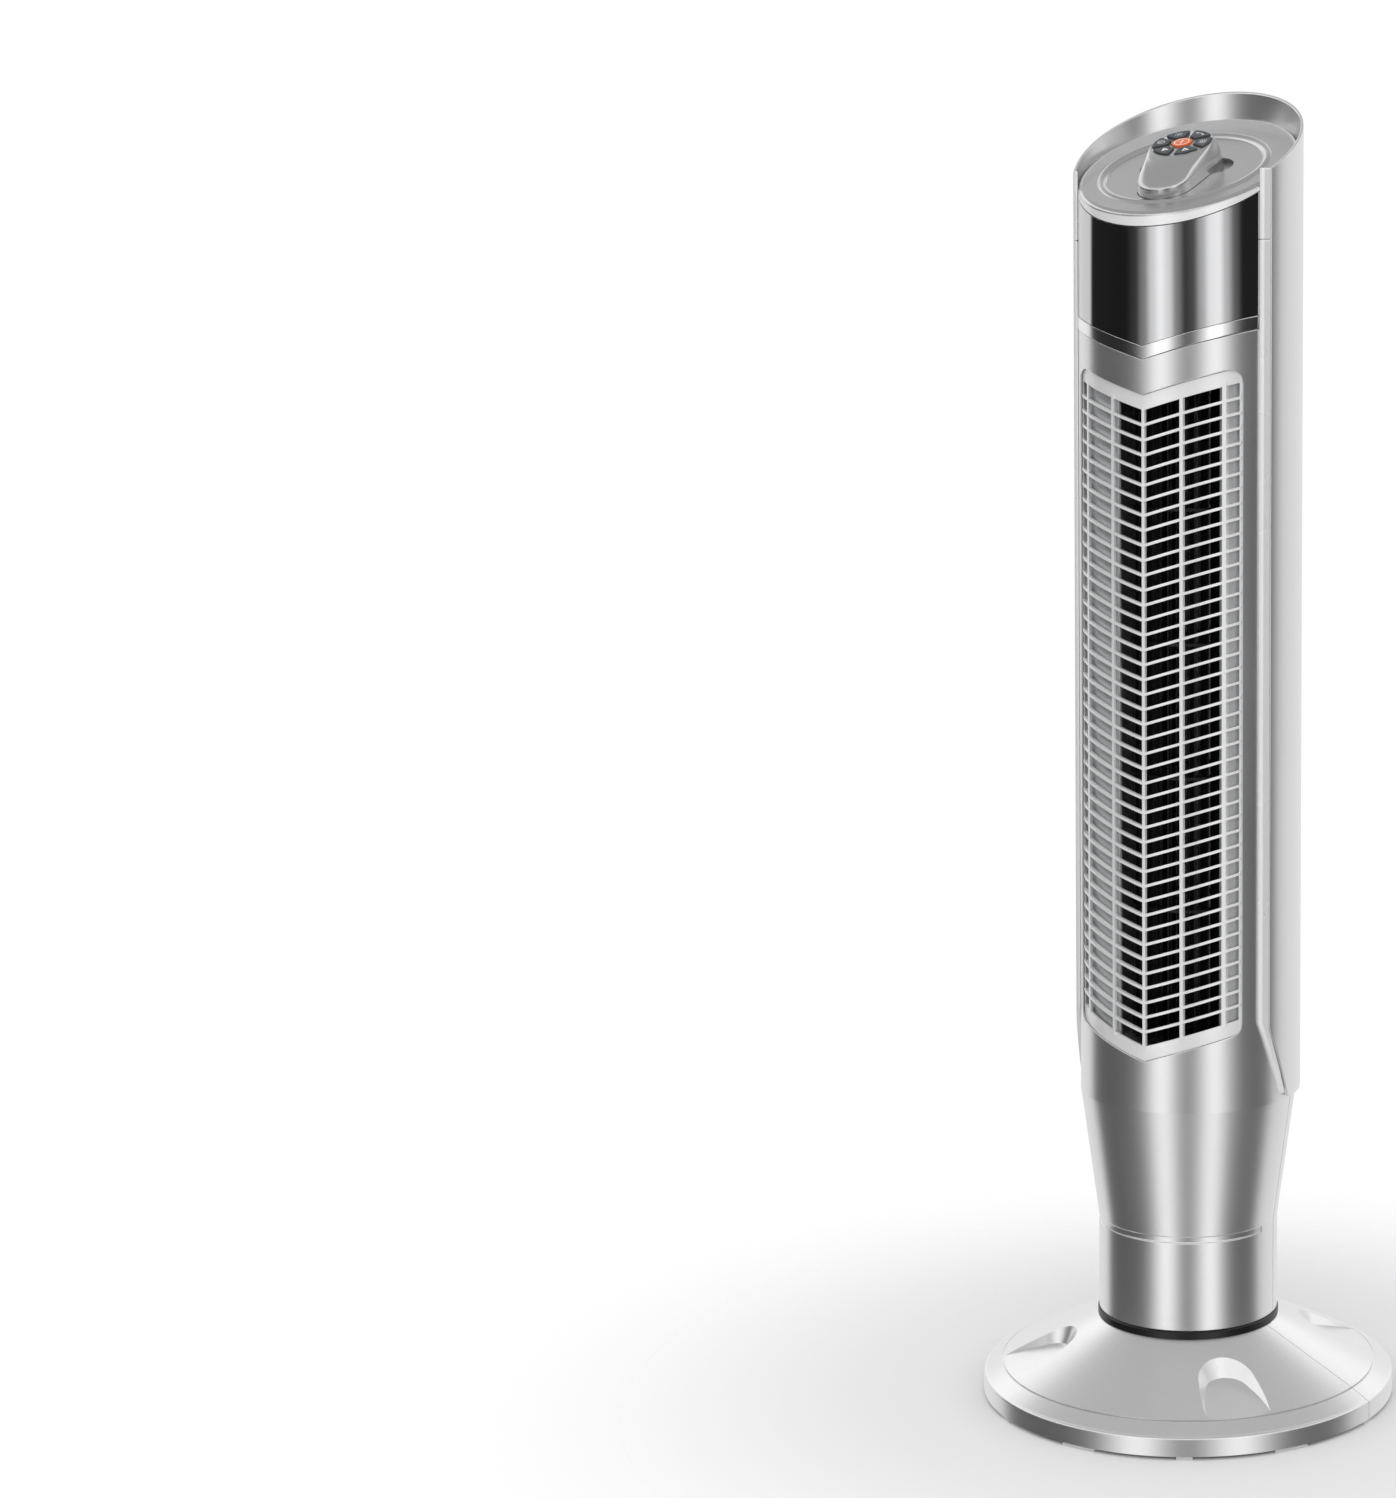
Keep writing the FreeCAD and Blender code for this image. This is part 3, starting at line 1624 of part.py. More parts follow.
PLATE_FACE = f"({BEARING_PLATE} + bearing_plate_height)"
BOARD_LOW = f"({OSCILLATOR_FOOT} + oscillator_height + 8)"
BOARD_Y = "(column_radius * 0.4)"
part(
    box(
        "power_board",
        "column_radius * 1.2",
        "board_thickness",
        "power_board_height",
        y=BOARD_Y,
        z=BOARD_LOW,
    ),
    "main_circuit_board",
)
part(
    cylinder(
        "capacitor_can",
        "capacitor_radius",
        "capacitor_height",
        "column_radius * -0.3",
        f"{BOARD_Y} - board_thickness / 2 - capacitor_radius",
        f"{BOARD_LOW} + 20",
    ),
    "motor_capacitor",
)
DISPLAY_Y = "(-body_radius * 0.74)"
part(
    box(
        "display_pcb",
        "body_radius * 1.05",
        "board_thickness",
        "display_board_height",
        y=DISPLAY_Y,
        z=PLATE_FACE,
    ),
    "display_circuit_board",
)
part(
    box(
        "receiver",
        "receiver_size",
        "receiver_depth",
        "receiver_size",
        y=f"{DISPLAY_Y} - (board_thickness + receiver_depth) / 2",
        z=f"{PLATE_FACE} + 40",
    ),
    "infrared_receiver",
)
part(
    box(
        "ionizer",
        "ionizer_length",
        "ionizer_depth",
        "ionizer_height",
        y="-body_radius * 0.8",
        z=f"{BEARING_PLATE} - ionizer_height",
    ),
    "ionizer_module",
)

# --- fasteners ---------------------------------------------------------------------

cowl_screws = [
    fuse(f"cowl_screw_{i}", shank, head)
    for i, (shank, head) in enumerate(
        zip(
            cowl_pins("cowl_shank", "screw_radius", "body_radius - 8", "cowl_radius - body_radius + 8"),
            cowl_pins("cowl_head", "screw_head", "cowl_radius", "screw_head_height"),
        )
    )
]
part(group("cowl_screws", cowl_screws), "cowl_screws")

# --- checks and files ----------------------------------------------------------------

doc.recompute()
for thing in doc.Objects:
    if any(word in ("Invalid", "Error") for word in thing.State):
        raise RuntimeError(f"{thing.Name} failed: {thing.State}")
labels = [thing.Label for thing in parts]
if len(set(labels)) != len(labels):
    raise RuntimeError("two sub-parts share a name")
for thing in parts:
    if thing.Shape.isNull() or not thing.Shape.isValid() or not thing.Shape.Solids:
        raise RuntimeError(f"{thing.Label} has no valid shape")

os.makedirs("parts", exist_ok=True)
for thing in parts:
    thing.Shape.exportStep(f"parts/{thing.Label}.step")
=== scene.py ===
import json
import math

import bmesh
import bpy
from mathutils import Matrix, Vector


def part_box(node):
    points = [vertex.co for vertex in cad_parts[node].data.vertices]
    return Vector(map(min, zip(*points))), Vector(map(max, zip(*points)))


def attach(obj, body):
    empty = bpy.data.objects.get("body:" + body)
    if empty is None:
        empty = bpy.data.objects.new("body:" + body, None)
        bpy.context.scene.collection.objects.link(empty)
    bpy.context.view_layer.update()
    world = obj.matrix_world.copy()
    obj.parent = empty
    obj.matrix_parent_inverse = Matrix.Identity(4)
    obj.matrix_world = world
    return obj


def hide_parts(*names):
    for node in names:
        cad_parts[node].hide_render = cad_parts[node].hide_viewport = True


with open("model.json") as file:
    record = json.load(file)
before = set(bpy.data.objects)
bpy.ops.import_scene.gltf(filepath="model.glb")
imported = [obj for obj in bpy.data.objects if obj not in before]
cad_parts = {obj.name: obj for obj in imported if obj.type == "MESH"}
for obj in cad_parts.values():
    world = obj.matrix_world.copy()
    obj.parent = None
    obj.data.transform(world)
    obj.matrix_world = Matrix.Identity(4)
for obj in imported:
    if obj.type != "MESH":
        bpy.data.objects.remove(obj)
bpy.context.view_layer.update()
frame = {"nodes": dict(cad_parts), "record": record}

nodes = frame["nodes"]
MM = 0.001

# --- camera, fitted to the photograph, in metres and with the lens in millimetres ------------

CAMERA_AZIMUTH = math.radians(24.0)
CAMERA_DISTANCE = 2.559
CAMERA_HEIGHT = 0.930
CAMERA_PITCH = math.radians(6.05)
LENS = 73.92
SHIFT_X = -0.3272
SHIFT_Y = -0.085
SENSOR_WIDTH = 36.0

camera_data = bpy.data.cameras.new("camera")
camera_data.lens = LENS
camera_data.sensor_width = SENSOR_WIDTH
camera_data.shift_x = SHIFT_X
camera_data.shift_y = SHIFT_Y
camera = bpy.data.objects.new("camera", camera_data)
bpy.context.scene.collection.objects.link(camera)
camera.location = (
    math.sin(CAMERA_AZIMUTH) * CAMERA_DISTANCE,
    -math.cos(CAMERA_AZIMUTH) * CAMERA_DISTANCE,
    CAMERA_HEIGHT,
)
camera.rotation_euler = (math.pi / 2 - CAMERA_PITCH, 0, CAMERA_AZIMUTH)
bpy.context.scene.camera = camera
bpy.context.scene.view_settings.view_transform = "Standard"

# --- shader helpers ---------------------------------------------------------------------


def new_material(name):
    material = bpy.data.materials.new(name)
    material.use_nodes = True
    tree = material.node_tree
    tree.nodes.clear()
    out = tree.nodes.new("ShaderNodeOutputMaterial")
    shader = tree.nodes.new("ShaderNodeBsdfPrincipled")
    tree.links.new(shader.outputs["BSDF"], out.inputs["Surface"])
    return material, tree, shader


def add_node(tree, kind, **settings):
    """A new shader node. Each setting is an input socket's value, or else a property."""
    node = tree.nodes.new(kind)
    for key, item in settings.items():
        if key in node.inputs:
            node.inputs[key].default_value = item
        else:
            setattr(node, key, item)
    return node


def math_node(tree, operation, *terms):
    """Result of an operation on terms that are numbers or sockets."""
    node = tree.nodes.new("ShaderNodeMath")
    node.operation = operation
    for socket, term in zip(node.inputs, terms):
        if isinstance(term, (int, float)):
            socket.default_value = term
        else:
            tree.links.new(term, socket)
    return node.outputs[0]


# --- floor, world and lights ----------------------------------------------------------


FLOOR_HALF = 6.0
FLOOR_FADE = (0.20, 0.62)


def make_floor():
    """Pale floor that takes the shadow and fades out away from the base."""
    mesh = bpy.data.meshes.new("floor")
    corners = [(x * FLOOR_HALF, y * FLOOR_HALF, 0) for x, y in ((-1, -1), (1, -1), (1, 1), (-1, 1))]
    mesh.from_pydata(corners, [], [(0, 1, 2, 3)])
    floor = bpy.data.objects.new("floor", mesh)
    bpy.context.scene.collection.objects.link(floor)
    material, tree, shader = new_material("pale_floor")
    shader.inputs["Base Color"].default_value = (0.94, 0.94, 0.94, 1)
    shader.inputs["Roughness"].default_value = 0.7
    shader.inputs["Specular IOR Level"].default_value = 0.2
    place = tree.nodes.new("ShaderNodeTexCoord")
    length = tree.nodes.new("ShaderNodeVectorMath")
    length.operation = "LENGTH"
    tree.links.new(place.outputs["Object"], length.inputs[0])
    fade = tree.nodes.new("ShaderNodeMapRange")
    fade.interpolation_type = "SMOOTHSTEP"
    fade.inputs["From Min"].default_value = FLOOR_FADE[0]
    fade.inputs["From Max"].default_value = FLOOR_FADE[1]
    tree.links.new(length.outputs["Value"], fade.inputs["Value"])
    clear = tree.nodes.new("ShaderNodeBsdfTransparent")
    mix = tree.nodes.new("ShaderNodeMixShader")
    out = next(n for n in tree.nodes if n.type == "OUTPUT_MATERIAL")
    tree.links.new(fade.outputs["Result"], mix.inputs["Fac"])
    tree.links.new(shader.outputs["BSDF"], mix.inputs[1])
    tree.links.new(clear.outputs["BSDF"], mix.inputs[2])
    tree.links.new(mix.outputs["Shader"], out.inputs["Surface"])
    mesh.materials.append(material)
    floor.visible_glossy = False


# Brightness of the studio round the object: (angle in degrees from the front, positive to +X, level).
STUDIO = (
    (-180, 0.85), (-101, 0.85), (-95, 0.02), (-45, 0.015), (-33, 0.05), (-23, 0.29), (-14, 0.92), (-5, 1.34),
    (4, 1.00), (12, 0.32), (21, 0.06), (29, 0.10), (38, 0.58), (47, 1.20), (56, 1.30), (64, 0.70), (74, 0.16),
    (83, 0.02), (104, 0.02), (118, 0.05), (130, 0.75), (180, 0.85),
)
# Brightness overhead: (sine of the elevation, level), blended in above BAND_TOP.
OVERHEAD = ((-1.0, 1.25), (0.56, 1.25), (0.68, 0.42), (1.0, 0.42))
BAND_TOP = (0.28, 0.42)
# Below the horizon the level changes to FLOOR_LEVEL between these two sines.
FLOOR_BAND = (-0.55, -0.80)
FLOOR_LEVEL = 0.6


def fill_ramp(tree, ramp, stops):
    """Set a ramp's stops and return its level, which may pass 1."""
    elements = ramp.color_ramp.elements
    while len(elements) < len(stops):
        elements.new(0.5)
    top = max(level for _, level in stops)
    for element, (position, level) in zip(elements, stops):
        element.position = position
        element.color = (level / top, level / top, level / top, 1)
    return math_node(tree, "MULTIPLY", ramp.outputs["Color"], top)


def make_world():
    """Studio that shows in reflections and lights the part, behind a white backdrop for the camera."""
    world = bpy.data.worlds.new("studio")
    bpy.context.scene.world = world
    world.use_nodes = True
    tree = world.node_tree
    tree.nodes.clear()
    place = tree.nodes.new("ShaderNodeTexCoord")
    split = tree.nodes.new("ShaderNodeSeparateXYZ")
    tree.links.new(place.outputs["Generated"], split.inputs[0])
    back = math_node(tree, "MULTIPLY", split.outputs["Y"], -1.0)
    angle = math_node(tree, "ARCTAN2", split.outputs["X"], back)
    share = math_node(tree, "MULTIPLY_ADD", angle, 0.5 / math.pi, 0.5)
    ramp = tree.nodes.new("ShaderNodeValToRGB")
    tree.links.new(share, ramp.inputs["Fac"])
    ramp.color_ramp.interpolation = "EASE"
    round_level = fill_ramp(tree, ramp, [(degrees / 360 + 0.5, level) for degrees, level in STUDIO])
    sine = math_node(tree, "MULTIPLY_ADD", split.outputs["Z"], 0.5, 0.5)
    ramp = tree.nodes.new("ShaderNodeValToRGB")
    tree.links.new(sine, ramp.inputs["Fac"])
    ramp.color_ramp.interpolation = "EASE"
    overhead = fill_ramp(tree, ramp, [(height * 0.5 + 0.5, level) for height, level in OVERHEAD])
    high = tree.nodes.new("ShaderNodeMapRange")
    high.interpolation_type = "SMOOTHSTEP"
    high.inputs["From Min"].default_value = BAND_TOP[0]
    high.inputs["From Max"].default_value = BAND_TOP[1]
    tree.links.new(split.outputs["Z"], high.inputs["Value"])
    blend = tree.nodes.new("ShaderNodeMix")
    blend.data_type = "FLOAT"
    tree.links.new(high.outputs["Result"], blend.inputs["Factor"])
    tree.links.new(round_level, blend.inputs["A"])
    tree.links.new(overhead, blend.inputs["B"])
    low = tree.nodes.new("ShaderNodeMapRange")
    low.inputs["From Min"].default_value = FLOOR_BAND[1]
    low.inputs["From Max"].default_value = FLOOR_BAND[0]
    tree.links.new(split.outputs["Z"], low.inputs["Value"])
    floor_blend = tree.nodes.new("ShaderNodeMix")
    floor_blend.data_type = "FLOAT"
    tree.links.new(low.outputs["Result"], floor_blend.inputs["Factor"])
    floor_blend.inputs["A"].default_value = FLOOR_LEVEL
    tree.links.new(blend.outputs["Result"], floor_blend.inputs["B"])
    studio = add_node(tree, "ShaderNodeBackground", Color=(1, 1, 1, 1))
    tree.links.new(floor_blend.outputs["Result"], studio.inputs["Strength"])
    seen = add_node(tree, "ShaderNodeBackground", Color=(1, 1, 1, 1), Strength=1.0)
    path = tree.nodes.new("ShaderNodeLightPath")
    mix = tree.nodes.new("ShaderNodeMixShader")
    out = tree.nodes.new("ShaderNodeOutputWorld")
    tree.links.new(path.outputs["Is Camera Ray"], mix.inputs["Fac"])
    tree.links.new(studio.outputs["Background"], mix.inputs[1])
    tree.links.new(seen.outputs["Background"], mix.inputs[2])
    tree.links.new(mix.outputs["Shader"], out.inputs["Surface"])


def area_light(name, azimuth, distance, height, width, tall, power, aim=0.6):
    """Soft box at an angle from the front, positive to +X, that doesn't show as a reflection."""
    data = bpy.data.lights.new(name, "AREA")
    data.shape = "RECTANGLE"
    data.size = width
    data.size_y = tall
    data.energy = power
    light = bpy.data.objects.new(name, data)
    bpy.context.scene.collection.objects.link(light)
    angle = math.radians(azimuth)
    light.location = (math.sin(angle) * distance, -math.cos(angle) * distance, height)
    toward = Vector((0, 0, aim)) - light.location
    light.rotation_euler = toward.to_track_quat("-Z", "Y").to_euler()
    light.visible_camera = False
    light.visible_glossy = False


make_floor()
make_world()
area_light("front_box", 20.0, 2.6, 1.5, 1.4, 1.8, 12)
area_light("top_box", 0.0, 0.3, 2.9, 1.8, 1.8, 16, aim=0.3)

# --- materials --------------------------------------------------------------------------

FLAKE_DETAIL = 2.0
CLOUD_SCALE = 9.0
CLOUD_DETAIL = 3.0
RELIEF_DEPTH = 0.0004
COAT_ROUGHNESS = 0.12


def paint(name, color, metallic, roughness, coat=0.0, flake=0.25, grain=900.0, bump=0.02, wear=0.12):
    """Sprayed or moulded plastic with fine flakes, uneven gloss and a slight orange peel."""
    material, tree, shader = new_material(name)
    place = tree.nodes.new("ShaderNodeTexCoord")
    flakes = add_node(tree, "ShaderNodeTexNoise", Scale=grain, Detail=FLAKE_DETAIL)
    clouds = add_node(tree, "ShaderNodeTexNoise", Scale=CLOUD_SCALE, Detail=CLOUD_DETAIL)
    for noise in (flakes, clouds):
        tree.links.new(place.outputs["Object"], noise.inputs["Vector"])
    tint = tree.nodes.new("ShaderNodeMix")
    tint.data_type = "RGBA"
    tint.inputs["A"].default_value = [c * (1 - flake) for c in color] + [1]
    tint.inputs["B"].default_value = [min(1.0, c * (1 + flake)) for c in color] + [1]
    tree.links.new(flakes.outputs["Fac"], tint.inputs["Factor"])
    tree.links.new(tint.outputs["Result"], shader.inputs["Base Color"])
    gloss = tree.nodes.new("ShaderNodeMapRange")
    gloss.inputs["To Min"].default_value = roughness * (1 - wear)
    gloss.inputs["To Max"].default_value = roughness * (1 + wear)
    tree.links.new(clouds.outputs["Fac"], gloss.inputs["Value"])
    tree.links.new(gloss.outputs["Result"], shader.inputs["Roughness"])
    relief = add_node(tree, "ShaderNodeBump", Strength=bump, Distance=RELIEF_DEPTH)
    tree.links.new(flakes.outputs["Fac"], relief.inputs["Height"])
    tree.links.new(relief.outputs["Normal"], shader.inputs["Normal"])
    shader.inputs["Metallic"].default_value = metallic
    shader.inputs["Coat Weight"].default_value = coat
    shader.inputs["Coat Roughness"].default_value = COAT_ROUGHNESS
    return material


# The painted highlight on the deck's rim: its distances from the tower's axis, its depth under the deck, and
# how far it fades.
RIM_START = 0.080
RIM_END = 0.086
RIM_DEPTH = 0.0018
RIM_FADE = 1.8
RIM_HIGHLIGHT_COLOR = (0.97, 0.97, 0.97)
RIM_HIGHLIGHT_METALLIC = 0.1


def paint_rim_highlight(material, point, normal, depth, color, metallic):
    """Paint a highlight near the deck's rim, lighter and less metallic, wherever it lies deeper than 'depth'
    under a plane.
    """
    tree = material.node_tree
    shader = next(n for n in tree.nodes if n.type == "BSDF_PRINCIPLED")
    place = tree.nodes.new("ShaderNodeTexCoord")
    along = tree.nodes.new("ShaderNodeVectorMath")
    along.operation = "DOT_PRODUCT"
    tree.links.new(place.outputs["Object"], along.inputs[0])
    along.inputs[1].default_value = normal
    fade = tree.nodes.new("ShaderNodeMapRange")
    fade.interpolation_type = "SMOOTHSTEP"
    level = Vector(point).dot(normal)
    fade.inputs["From Min"].default_value = level - depth
    fade.inputs["From Max"].default_value = level - depth * RIM_FADE
    tree.links.new(along.outputs["Value"], fade.inputs["Value"])
    flat = tree.nodes.new("ShaderNodeVectorMath")
    flat.operation = "MULTIPLY"
    flat.inputs[1].default_value = (1, 1, 0)
    tree.links.new(place.outputs["Object"], flat.inputs[0])
    reach = tree.nodes.new("ShaderNodeVectorMath")
    reach.operation = "LENGTH"
    tree.links.new(flat.outputs[0], reach.inputs[0])
    edge = tree.nodes.new("ShaderNodeMapRange")
    edge.inputs["From Min"].default_value = RIM_START
    edge.inputs["From Max"].default_value = RIM_END
    tree.links.new(reach.outputs["Value"], edge.inputs["Value"])
    share = math_node(tree, "MULTIPLY", fade.outputs["Result"], edge.outputs["Result"])
    for name, goal in (("Base Color", (*color, 1)), ("Metallic", metallic)):
        socket = shader.inputs[name]
        blend = tree.nodes.new("ShaderNodeMix")
        # A Mix node has separate sockets for colours and for plain values.
        blend.data_type = "RGBA" if name == "Base Color" else "FLOAT"
        first, second, result = (6, 7, 2) if name == "Base Color" else (2, 3, 0)
        tree.links.new(share, blend.inputs[0])
        if socket.links:
            tree.links.new(socket.links[0].from_socket, blend.inputs[first])
        else:
            blend.inputs[first].default_value = socket.default_value
        blend.inputs[second].default_value = goal
        tree.links.new(blend.outputs[result], socket)


SILVER = paint("silver_paint", (0.88, 0.88, 0.88), 0.88, 0.30, coat=0.1, flake=0.05)
BRIGHT = paint("bright_silver", (0.94, 0.94, 0.94), 0.15, 0.28, coat=0.2, flake=0.04)
DUCT = paint("duct_silver", (0.62, 0.63, 0.64), 0.6, 0.38, flake=0.06)
DECK = paint("deck_silver", (0.62, 0.62, 0.62), 0.90, 0.24, coat=0.2, flake=0.08)
REMOTE = paint("remote_silver", (0.62, 0.62, 0.62), 0.90, 0.26, coat=0.2, flake=0.07)
WINDOW = paint("mirror_window", (0.63, 0.63, 0.64), 1.0, 0.09, flake=0.02, grain=60.0, bump=0.002, wear=0.2)
CHROME = paint("chrome_plate", (0.96, 0.96, 0.96), 1.0, 0.20, flake=0.02, grain=120.0, bump=0.004, wear=0.3)
BLACK = paint("black_plastic", (0.007, 0.007, 0.008), 0.0, 0.38, flake=0.3, grain=1500.0, bump=0.12)
SLATE = paint("slate_rubber", (0.055, 0.062, 0.068), 0.0, 0.50, flake=0.12, grain=2200.0, bump=0.10)
ORANGE = paint("orange_rubber", (0.72, 0.14, 0.025), 0.0, 0.42, flake=0.08, grain=2200.0, bump=0.08)
PRINT = paint("pale_print", (0.86, 0.87, 0.88), 0.0, 0.5, flake=0.03, grain=2200.0, bump=0.03)
FOOT = paint("foot_rubber", (0.62, 0.62, 0.61), 0.0, 0.6, flake=0.1, grain=1400.0, bump=0.15)
STEEL = paint("bright_steel", (0.55, 0.55, 0.56), 1.0, 0.28, flake=0.12, grain=700.0, bump=0.03)
IRON = paint("cast_iron", (0.09, 0.09, 0.09), 0.4, 0.62, flake=0.3, grain=420.0, bump=0.3)
NYLON = paint("white_nylon", (0.74, 0.74, 0.70), 0.0, 0.42, flake=0.04, bump=0.05)
BRONZE = paint("sintered_bronze", (0.52, 0.33, 0.14), 0.9, 0.4, flake=0.25, grain=1600.0, bump=0.15)
BOARD = paint("board_green", (0.03, 0.20, 0.07), 0.0, 0.3, coat=0.4, flake=0.2, grain=240.0, bump=0.05)
CREAM = paint("capacitor_cream", (0.78, 0.78, 0.72), 0.0, 0.4, flake=0.04, bump=0.04)

BY_SLOT = {
    "silver_shell": SILVER,
    "bright_trim": BRIGHT,
    "duct_silver": DUCT,
    "grey_deck": DECK,
    "grey_remote": REMOTE,
    "black_gloss": WINDOW,
    "chrome": CHROME,
    "black_plastic": BLACK,
    "light_rubber": FOOT,
    "slate_rubber": SLATE,
    "orange_rubber": ORANGE,
    "mount_rubber": BLACK,
    "steel": STEEL,
    "cast_iron": IRON,
    "white_nylon": NYLON,
    "bronze": BRONZE,
    "board_green": BOARD,
    "capacitor_white": CREAM,
}
slots = {row["node"]: row["material_slot"] for row in frame["record"]["subparts"]}
bodies = {node: body for body, names in frame["record"]["behaviour"]["bodies"].items() for node in names}
for node, slot_name in slots.items():
    for slot in nodes[node].material_slots:
        slot.material = BY_SLOT[slot_name]

# --- softened edges on the moulded shells --------------------------------------------------

# A wall counts as turned about the tower's axis when its normal has this much that is level, and points
# this nearly along the radius. Other faces are smoothed together when their normals match this well.
TURNED_SHARE = 0.05
TURNED_MATCH = 0.995
SMOOTH_MATCH = math.cos(math.radians(35))
BEVEL_ANGLE = math.radians(32)
BEVEL_SEGMENTS = 2


def piece(name, mesh, node):
    """A visible piece that stands for a CAD node and rides with it."""
    thing = bpy.data.objects.new(name, mesh)
    bpy.context.scene.collection.objects.link(thing)
    mesh.materials.clear()
    mesh.materials.append(BY_SLOT[slots[node]])
    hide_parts(node)
    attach(thing, bodies[node])


def set_normals(mesh):
    """Exact normals on walls turned about the tower's axis, and angle-limited smoothing elsewhere."""
    form = bmesh.new()
    form.from_mesh(mesh)
    form.normal_update()
    form.faces.ensure_lookup_table()
    normals = []
    for face in form.faces:
        facing = face.normal
        middle = face.calc_center_median()
        flat = Vector((facing.x, facing.y, 0))
        out = Vector((middle.x, middle.y, 0))
        turned = flat.length > TURNED_SHARE and abs(flat.normalized().dot(out.normalized())) > TURNED_MATCH
        for corner in face.loops:
            spot = corner.vert.co
            if turned:
                way = Vector((spot.x, spot.y, 0)).normalized() * math.copysign(flat.length, flat.dot(out))
                normals.append(Vector((way.x, way.y, facing.z)))
                continue
            total = Vector()
            for other in corner.vert.link_faces:
                if other.normal.dot(facing) > SMOOTH_MATCH:
                    total += other.normal * other.calc_area()
            normals.append(total.normalized() if total.length > 0 else facing.copy())
    form.free()
    for face in mesh.polygons:
        face.use_smooth = True
    mesh.normals_split_custom_set([tuple(n) for n in normals])


def soften(node, width):
    """Stand-in for a CAD node whose sharp edges are rounded to 'width' millimetres."""
    form = bmesh.new()
    form.from_mesh(nodes[node].data)
    bmesh.ops.remove_doubles(form, verts=form.verts, dist=1e-6)
    mesh = bpy.data.meshes.new(node + "_welded")
    form.to_mesh(mesh)
    form.free()
    maker = bpy.data.objects.new(node + "_maker", mesh)
    bpy.context.scene.collection.objects.link(maker)
    bevel = maker.modifiers.new("edges", "BEVEL")
    bevel.width = width * MM
    bevel.segments = BEVEL_SEGMENTS
    bevel.limit_method = "ANGLE"
    bevel.angle_limit = BEVEL_ANGLE
    bevel.use_clamp_overlap = True
    seen = maker.evaluated_get(bpy.context.evaluated_depsgraph_get())
    rounded = bpy.data.meshes.new_from_object(seen)
    rounded.name = node + "_rounded"
    bpy.data.objects.remove(maker)
    bpy.data.meshes.remove(mesh)
    set_normals(rounded)
    piece(node + "_rounded", rounded, node)


for node, width in (
    ("rear_cowl", 0.8),
    ("front_housing", 0.8),
    ("rear_housing", 0.6),
    ("base_front_shell", 0.5),
    ("base_rear_shell", 0.5),
    ("upper_trim_rail_left", 0.9),
    ("upper_trim_rail_right", 0.9),
    ("lower_trim_rail_left", 0.9),
    ("lower_trim_rail_right", 0.9),
    ("chrome_band", 0.5),
    ("remote_bottom_shell", 0.6),
):
    soften(node, width)

# --- remote control --------------------------------------------------------------------------

# Sizes in millimetres, in the remote's own frame: x across, y towards the back of the deck and z off
# the deck, from the point on the deck under the power key's centre.
FACE_HEIGHT = 19.3
SPLIT_HEIGHT = 4.0
KEY_FOOT = 16.1
KEY_TOP = 20.7
HEAD_RADIUS = 30.5
TAIL_RADIUS = 24.0
TAIL_REACH = 43.0
FACE_EDGE = 26.7
FACE_GROOVE = (26.2, 26.0, 25.7, 25.5)
FACE_GROOVE_DEPTH = 0.5
LIP_INSET = 0.7
LIP_HEIGHT = 2.4
SLOPE_POWER = 1.35
WELL_FOOT = 13.0
KEY_INNER = 11.6
KEY_OUTER = 24.8
KEY_HALF_GAP = 2.3
POWER_RADIUS = 8.6
KEY_CLEARANCE = 0.45
KEY_CORNER = 2.0
KEY_EDGE = 0.7
POWER_EDGE = 0.8
WELL_CORNER = 2.3
WELL_PAST_KEYS = 3

joints = {joint["name"]: joint for joint in frame["record"]["behaviour"]["joints"]}
off_deck = Vector(joints["remote_lift"]["axis"]).normalized()
up_slope = Vector((0, off_deck.z, -off_deck.y))
low, high = (Vector(corner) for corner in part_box("power_button"))
remote_origin = (low + high) / 2 - off_deck * (KEY_FOOT + KEY_TOP) / 2 * MM
# Painted highlight: the deck's paint turns near-white and less metallic at its rim.
paint_rim_highlight(DECK, remote_origin, off_deck, RIM_DEPTH, RIM_HIGHLIGHT_COLOR, RIM_HIGHLIGHT_METALLIC)
REMOTE_FRAME = Matrix(
    (
        (MM, 0, 0, remote_origin.x),
        (0, up_slope.y * MM, off_deck.y * MM, remote_origin.y),
        (0, up_slope.z * MM, off_deck.z * MM, remote_origin.z),
        (0, 0, 0, 1),
    )
)


def capsule_outline(head, tail, reach, count):
    """Outline round a head circle and a smaller tail circle in front of it, in equal steps."""
    side = math.acos((head - tail) / reach)
    fine = 90
    arcs = [(tail, -reach, side * i / fine) for i in range(fine + 1)]
    arcs += [(head, 0.0, side + (math.pi - side) * i / fine) for i in range(fine + 1)]
    right = [Vector((radius * math.sin(turn), y - radius * math.cos(turn))) for radius, y, turn in arcs]
    loop = right + [Vector((-p.x, p.y)) for p in reversed(right[1:-1])] + [right[0]]
    lengths = [0.0]
    for start, end in zip(loop, loop[1:]):
        lengths.append(lengths[-1] + (end - start).length)
    spots = []
    index = 0
    for i in range(count):
        goal = lengths[-1] * i / count
        while lengths[index + 1] < goal:
            index += 1
        share = (goal - lengths[index]) / (lengths[index + 1] - lengths[index])
        spots.append(loop[index].lerp(loop[index + 1], share))
    return spots


def circle_outline(radius, count):
    """Circle in equal steps from its front."""
    turns = [2 * math.pi * i / count for i in range(count)]
    return [Vector((radius * math.sin(turn), -radius * math.cos(turn))) for turn in turns]


def finish_form(form, name):
    """Mesh of a form, moved from the remote's own frame into the part's."""
    bmesh.ops.recalc_face_normals(form, faces=form.faces)
    form.transform(REMOTE_FRAME)
    mesh = bpy.data.meshes.new(name)
    form.to_mesh(mesh)
    form.free()
    return mesh


